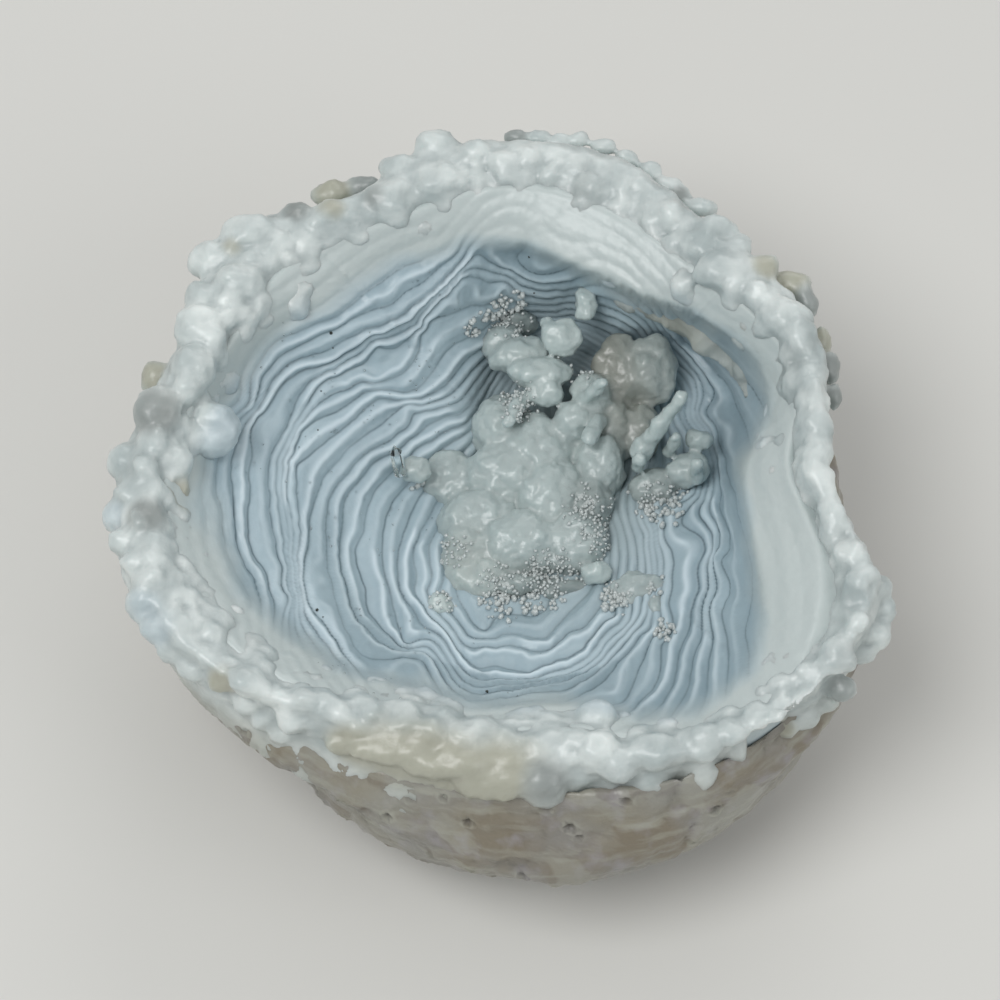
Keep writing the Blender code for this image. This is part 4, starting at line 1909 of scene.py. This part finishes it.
@dataclass(frozen=True)
class Finger:
    """A round finger from root to tip, each a pixel and a height, with the radii there in millimetres."""

    root: Triple
    tip: Triple
    thick: float
    thin: float
    tone: float = 0.5


LUMPS = (
    Lump(585, 303, 27, 1.5, 2.3, 1.6, 0.9), Lump(562, 336, 25, 2.8, 2.5, 1.6, 0.85),
    Lump(540, 372, 23, 4.2, 2.2, 2.4, 0.8), Lump(522, 356, 22, 4.6, 2.6, 2.6, 0.6),
    Lump(545, 392, 22, 2.6, 1.9, 2.2, 0.8), Lump(592, 396, 21, 2.6, 3.2, 2.0, 0.75),
    Lump(574, 424, 20, 2.6, 2.8, 2.4, 0.7), Lump(500, 345, 21, 3.0, 2.6, 2.6, 0.35),
    Lump(512, 322, 20, 3.2, 2.4, 2.0, 0.2, dark=0.5), Lump(498, 430, 19, 3.6, 4.4, 3.6, 0.6),
    Lump(535, 450, 19, 5.0, 5.0, 4.0, 0.55), Lump(505, 480, 18, 6.0, 5.0, 4.0, 0.5),
    Lump(550, 500, 18, 5.0, 5.0, 4.0, 0.6), Lump(480, 520, 17, 5.5, 4.6, 3.6, 0.4),
    Lump(520, 545, 17, 6.5, 4.4, 4.0, 0.55), Lump(470, 555, 16, 4.0, 4.0, 3.0, 0.55, warm=0.25),
    Lump(480, 580, 16, 4.6, 2.8, 2.6, 0.75, warm=0.15), Lump(575, 545, 17, 4.6, 4.4, 3.6, 0.5),
    Lump(590, 510, 17, 3.2, 4.6, 3.0, 0.3, warm=0.1, dark=0.4), Lump(600, 470, 18, 3.4, 4.6, 3.2, 0.6),
    Lump(450, 480, 16, 3.6, 4.0, 2.6, 0.35), Lump(610, 430, 18, 3.6, 4.6, 3.2, 0.35, warm=0.5),
    Lump(618, 380, 20, 4.2, 5.4, 3.0, 0.35, warm=0.7), Lump(650, 370, 21, 3.8, 4.6, 2.6, 0.4, warm=0.2),
    Lump(640, 430, 18, 3.0, 3.4, 2.6, 0.4, warm=0.5),
    Lump(655, 490, 17, 3.4, 3.0, 2.6, 0.4, warm=0.1, dark=0.2), Lump(690, 470, 19, 2.8, 2.4, 2.2, 0.5),
    Lump(698, 440, 20, 1.8, 1.4, 1.6, 0.6), Lump(440, 606, 16, 1.8, 1.7, 1.6, 0.95),
    Lump(596, 572, 17, 2.2, 1.5, 1.4, 0.8), Lump(520, 585, 16, 3.4, 1.4, 1.6, 0.4, warm=0.1, dark=0.3),
    Lump(560, 590, 15.5, 3.6, 1.6, 1.8, 0.3, dark=0.5), Lump(415, 470, 20, 2.2, 1.8, 1.4, 0.4),
    Lump(640, 600, 16.5, 4.2, 3.8, 2.2, 0.35), Lump(655, 615, 17, 1.6, 2.6, 1.6, 0.4),
)
FINGERS = (
    Finger((640, 452, 18.5), (682, 397, 27), 1.5, 0.85, 0.9),
    Finger((585, 400, 20), (602, 384, 24), 1.2, 0.8, 0.8),
    Finger((638, 466, 18), (640, 458, 21), 0.9, 0.8, 0.8),
    Finger((668, 452, 18), (676, 438, 22), 0.9, 0.75, 0.6),
    Finger((696, 478, 18), (698, 463, 22), 1.0, 0.9, 0.6),
    Finger((558, 350, 20), (548, 322, 24), 1.0, 0.9, 0.7),
    Finger((600, 420, 19), (588, 440, 21), 1.1, 0.9, 0.7),
    Finger((520, 400, 20), (510, 420, 21), 1.2, 1.0, 0.6),
)


@dataclass
class Growths:
    """The knobs and fingers that stand on the bowl's floor."""

    view: PhotoView
    grain: float = 0.3
    lump_relief: float = 0.18
    finger_balls: int = 14
    relief: float = 0.3
    relief_size: float = 1.5
    surface: Shape = field(init=False)

    def _parts(self) -> tuple[list[Shape], list[tuple]]:
        """Places the lumps, and the balls that make up each finger.

        Returns:
            The shapes, and marks: a middle, a reach, and the tone, warmth and darkness there.
        """
        sphere = ball(3)
        shapes, marks = [], []
        for lump in LUMPS:
            place = self.view.at_height(lump.x, lump.y, lump.z)[0]
            look = self.view.look_at(place)
            points = self.view.stretched(sphere, look, (lump.wide, lump.high, lump.deep))
            size = min(lump.wide, lump.high)
            points *= (1 + self.lump_relief * wander(points + place, 0.7 * size, seed=7))[:, None]
            centre = place + look * lump.deep
            shapes.append(Shape(points + centre, sphere.faces))
            marks.append((centre, max(lump.wide, lump.high), lump.tone, lump.warm, lump.dark))
        for finger in FINGERS:
            root = self.view.at_height(*finger.root)[0]
            tip = self.view.at_height(*finger.tip)[0]
            for share in np.linspace(0, 1, self.finger_balls):
                radius = finger.thick + share * (finger.thin - finger.thick)
                shapes.append(Shape(sphere.points * radius + (root + share * (tip - root)), sphere.faces))
            marks.append(((root + tip) / 2, 3.0, finger.tone, 0.0, 0.0))
            marks.append((tip, 1.5, finger.tone, 0.0, 0.0))
        return shapes, marks

    def make(self) -> bpy.types.Object:
        """Makes the finished piece."""
        shapes, marks = self._parts()
        skin = fused(shapes[0].joined(shapes[1:]), self.grain)
        skin = relaxed(skin, 1, 0.5)
        push = self.relief * wander(skin.points, self.relief_size, seed=201, octaves=3)
        skin = Shape(skin.points + normals_of(skin) * push[:, None], skin.faces)
        self.surface = skin
        tone, warm, dark = self._tones(skin, marks)
        carried = {"tone": tone, "warm": warm, "dark": dark}
        return finished("growths", skin, GreyGrowth().material(), carried)

    @staticmethod
    def _tones(skin: Shape, marks: list[tuple]) -> tuple[Array, Array, Array]:
        """Blends the lumps' tones over the skin.

        Args:
            skin: the growths' surface.
            marks: a middle, a reach, and the tone, warmth and darkness there.

        Returns:
            The tone, the warmth and the darkness of each of its points.
        """
        sums = np.zeros((3, len(skin.points)))
        total = np.full(len(skin.points), 1e-6)
        for centre, reach, *values in marks:
            near = np.exp(-((np.linalg.norm(skin.points - centre, axis=1) / reach) ** 2) * 2.5)
            total += near
            sums += near * np.array(values)[:, None]
        return tuple(sums / total)


@dataclass
class Druse:
    """Small quartz points: a crust of them among the growths, and glints on the terraces.

    A spot is a pixel of the photograph and a radius in pixels, and a shape a width, a height and a tip.
    """

    view: PhotoView
    scatter: Scatter
    point: Triple = (0.5, 1.3, 0.55)
    glint: Triple = (0.5, 0.7, 0.4)
    on_growths: Sowing = Sowing(per_area=3.0, sizes=(0.22, 0.5), flatness=1.0, lean=0.9, seed=5)
    on_floor: Sowing = Sowing(per_area=3.2, sizes=(0.3, 0.75), flatness=1.0, lean=0.9, seed=6)
    on_terraces: Sowing = Sowing(per_area=1.0, sizes=(0.12, 0.34), flatness=1.0, lean=1.0, seed=9)
    growth_spots: Spots = (
        (510, 318, 22), (520, 402, 20), (590, 515, 26), (540, 582, 30), (455, 552, 16), (560, 570, 22),
        (615, 600, 18), (660, 498, 20), (500, 585, 20), (440, 605, 16), (610, 540, 20), (580, 370, 12),
    )
    floor_spots: Spots = (
        (540, 590, 26), (500, 600, 20), (615, 602, 16), (655, 588, 12), (420, 475, 14), (455, 560, 14),
        (665, 630, 12), (505, 315, 24), (470, 330, 10), (660, 500, 26),
    )
    terrace_spots: Spots = (
        (420, 400, 60), (360, 520, 50), (330, 420, 60), (460, 380, 40), (380, 640, 40), (480, 620, 40),
        (290, 360, 50), (450, 300, 40), (280, 470, 40), (520, 660, 30),
    )

    def make(self, lining: Shape, growths: Shape) -> list[bpy.types.Object]:
        """Makes the finished pieces.

        Args:
            lining: the bowl's open surface.
            growths: the growths' skin.

        Returns:
            The pieces.
        """
        cloudy = Glass("druse_quartz", colour=(0.74, 0.79, 0.78, 1.0), roughness=0.12, clearness=0.3)
        clear = Glass("clear_quartz")
        patch = self._patch(growths, self.growth_spots)
        patch = np.clip(patch * 1.4 - 0.3 + 0.15 * wander(growths.points, 1.2, seed=211), 0, 1)
        floor = np.clip(self._patch(lining, self.floor_spots) * 1.5 - 0.35, 0, 1)
        terraces = self._patch(lining, self.terrace_spots) * self._clumps(lining)
        pieces = []
        for name, surface, mask, shape, how, glass in (
            ("growth_druse", growths, patch, self.point, self.on_growths, cloudy),
            ("floor_druse", lining, floor, self.point, self.on_floor, cloudy),
            ("terrace_sparkles", lining, terraces, self.glint, self.on_terraces, clear),
        ):
            sown = self.scatter.sow(surface, mask, quartz_shape(*shape), how)
            pieces.append(finished(name, sown, glass.material()))
        return pieces

    def _patch(self, shape: Shape, spots: Spots) -> Array:
        """Marks round spots of the photograph on a shape.

        Args:
            shape: what carries them.
            spots: the spots.

        Returns:
            For each of its points 1 in the middle of a spot, and less around it.
        """
        x, y = self.view.pixels(shape.points)
        best = np.zeros(len(x))
        for spot_x, spot_y, radius in spots:
            best = np.maximum(best, np.exp(-(((x - spot_x) ** 2 + (y - spot_y) ** 2) / radius**2)))
        return best

    def _clumps(self, shape: Shape) -> Array:
        """Gives 1 where glints crowd together on a shape, and 0 between the clumps."""
        seen = np.column_stack(self.view.pixels(shape.points))
        return np.clip(wander(seen, 14, seed=221, octaves=2) * 1.4 - 0.1, 0, 1)


@dataclass
class QuartzPoint:
    """The clear quartz point that stands on the terraces left of the growths.

    Its foot and its tip are a pixel of the photograph and a height each.
    """

    view: PhotoView
    foot: Triple = (401, 474, 19.5)
    tip: Triple = (394, 445, 24.0)
    half_width: float = 0.85
    pyramid: float = 1.3

    def make(self) -> bpy.types.Object:
        """Makes the finished piece."""
        foot = Vector(self.view.at_height(*self.foot)[0])
        tip = Vector(self.view.at_height(*self.tip)[0])
        axis = tip - foot
        crystal = quartz_shape(self.half_width, axis.length, self.pyramid)
        turn = axis.to_track_quat("Z", "Y").to_matrix()
        points = crystal.points @ np.array(turn).T + np.array(foot)
        thing = finished("quartz_point", Shape(points, crystal.faces), Glass("clear_point").material())
        thing.data.shade_flat()
        return thing


@dataclass
class Specks:
    """The few dark grains that lie on the terraces, each at a pixel and with a radius in millimetres."""

    view: PhotoView
    places: Spots = (
        (317, 610, 0.22), (487, 692, 0.24), (333, 348, 0.12), (331, 333, 0.25), (318, 430, 0.13),
        (529, 257, 0.16), (534, 293, 0.13), (321, 391, 0.12), (323, 617, 0.1),
    )

    def make(self, lining: Shape) -> bpy.types.Object:
        """Makes the finished piece.

        Args:
            lining: the bowl's open surface.

        Returns:
            The piece.
        """
        tree = BVHTree.FromPolygons(lining.points.tolist(), lining.faces)
        grain = ball(1)
        shapes = []
        for x, y, radius in self.places:
            place = self.view.hit(tree, x, y)
            if place is not None:
                rough = grain.points * (1 + 0.35 * wander(grain.points + x, 0.8, seed=231))[:, None]
                shapes.append(Shape(rough * radius + place, grain.faces))
        return finished("dark_specks", shapes[0].joined(shapes[1:]), DarkSpeck().material())


@dataclass
class Studio:
    """The floor, the soft lights and the pale surroundings, in metres.

    A lamp is its name, its place, its width and its power.
    """

    floor_half: float = 2.0
    sky: float = 0.42
    aim: Triple = (0.0, 0.0, 0.025)
    lamps: tuple[tuple[str, Triple, float, float], ...] = (
        ("key", (-0.35, -0.25, 0.85), 0.55, 4.2),
        ("fill", (0.65, -0.35, 0.55), 0.6, 1.3),
        ("back", (0.2, 0.7, 0.6), 0.6, 1.3),
    )

    def make(self) -> None:
        """Sets everything up."""
        scene = bpy.context.scene
        scene.view_settings.view_transform = "Standard"
        world = bpy.data.worlds.new("surroundings")
        world.use_nodes = True
        world.node_tree.nodes["Background"].inputs["Color"].default_value = (self.sky, self.sky, self.sky, 1)
        scene.world = world
        half = self.floor_half
        corners = [(-half, -half, 0), (half, -half, 0), (half, half, 0), (-half, half, 0)]
        mesh = bpy.data.meshes.new("floor")
        mesh.from_pydata(corners, [], [(0, 1, 2, 3)])
        mesh.materials.append(PaleFloor().material())
        floor = bpy.data.objects.new("floor", mesh)
        scene.collection.objects.link(floor)
        for name, place, size, power in self.lamps:
            light = bpy.data.lights.new(name, "AREA")
            light.shape = "DISK"
            light.size = size
            light.energy = power
            lamp = bpy.data.objects.new(name, light)
            scene.collection.objects.link(lamp)
            lamp.location = place
            aim = Vector(self.aim) - Vector(place)
            lamp.rotation_euler = aim.to_track_quat("-Z", "Y").to_euler()


def main() -> None:
    """Builds the stone and its surroundings, piece by piece."""
    logging.basicConfig(level=logging.INFO, format="%(name)s: %(message)s")
    view = PhotoView()
    view.camera()
    Studio().make()
    scatter = Scatter()
    lining = BandedLining(view)
    lining.make()
    WhiteRim(view, scatter).make()
    OuterShell().make()
    growths = Growths(view)
    growths.make()
    Druse(view, scatter).make(lining.surface, growths.surface)
    QuartzPoint(view).make()
    Specks(view).make(lining.surface)


if __name__ == "__main__":
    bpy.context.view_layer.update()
    main()
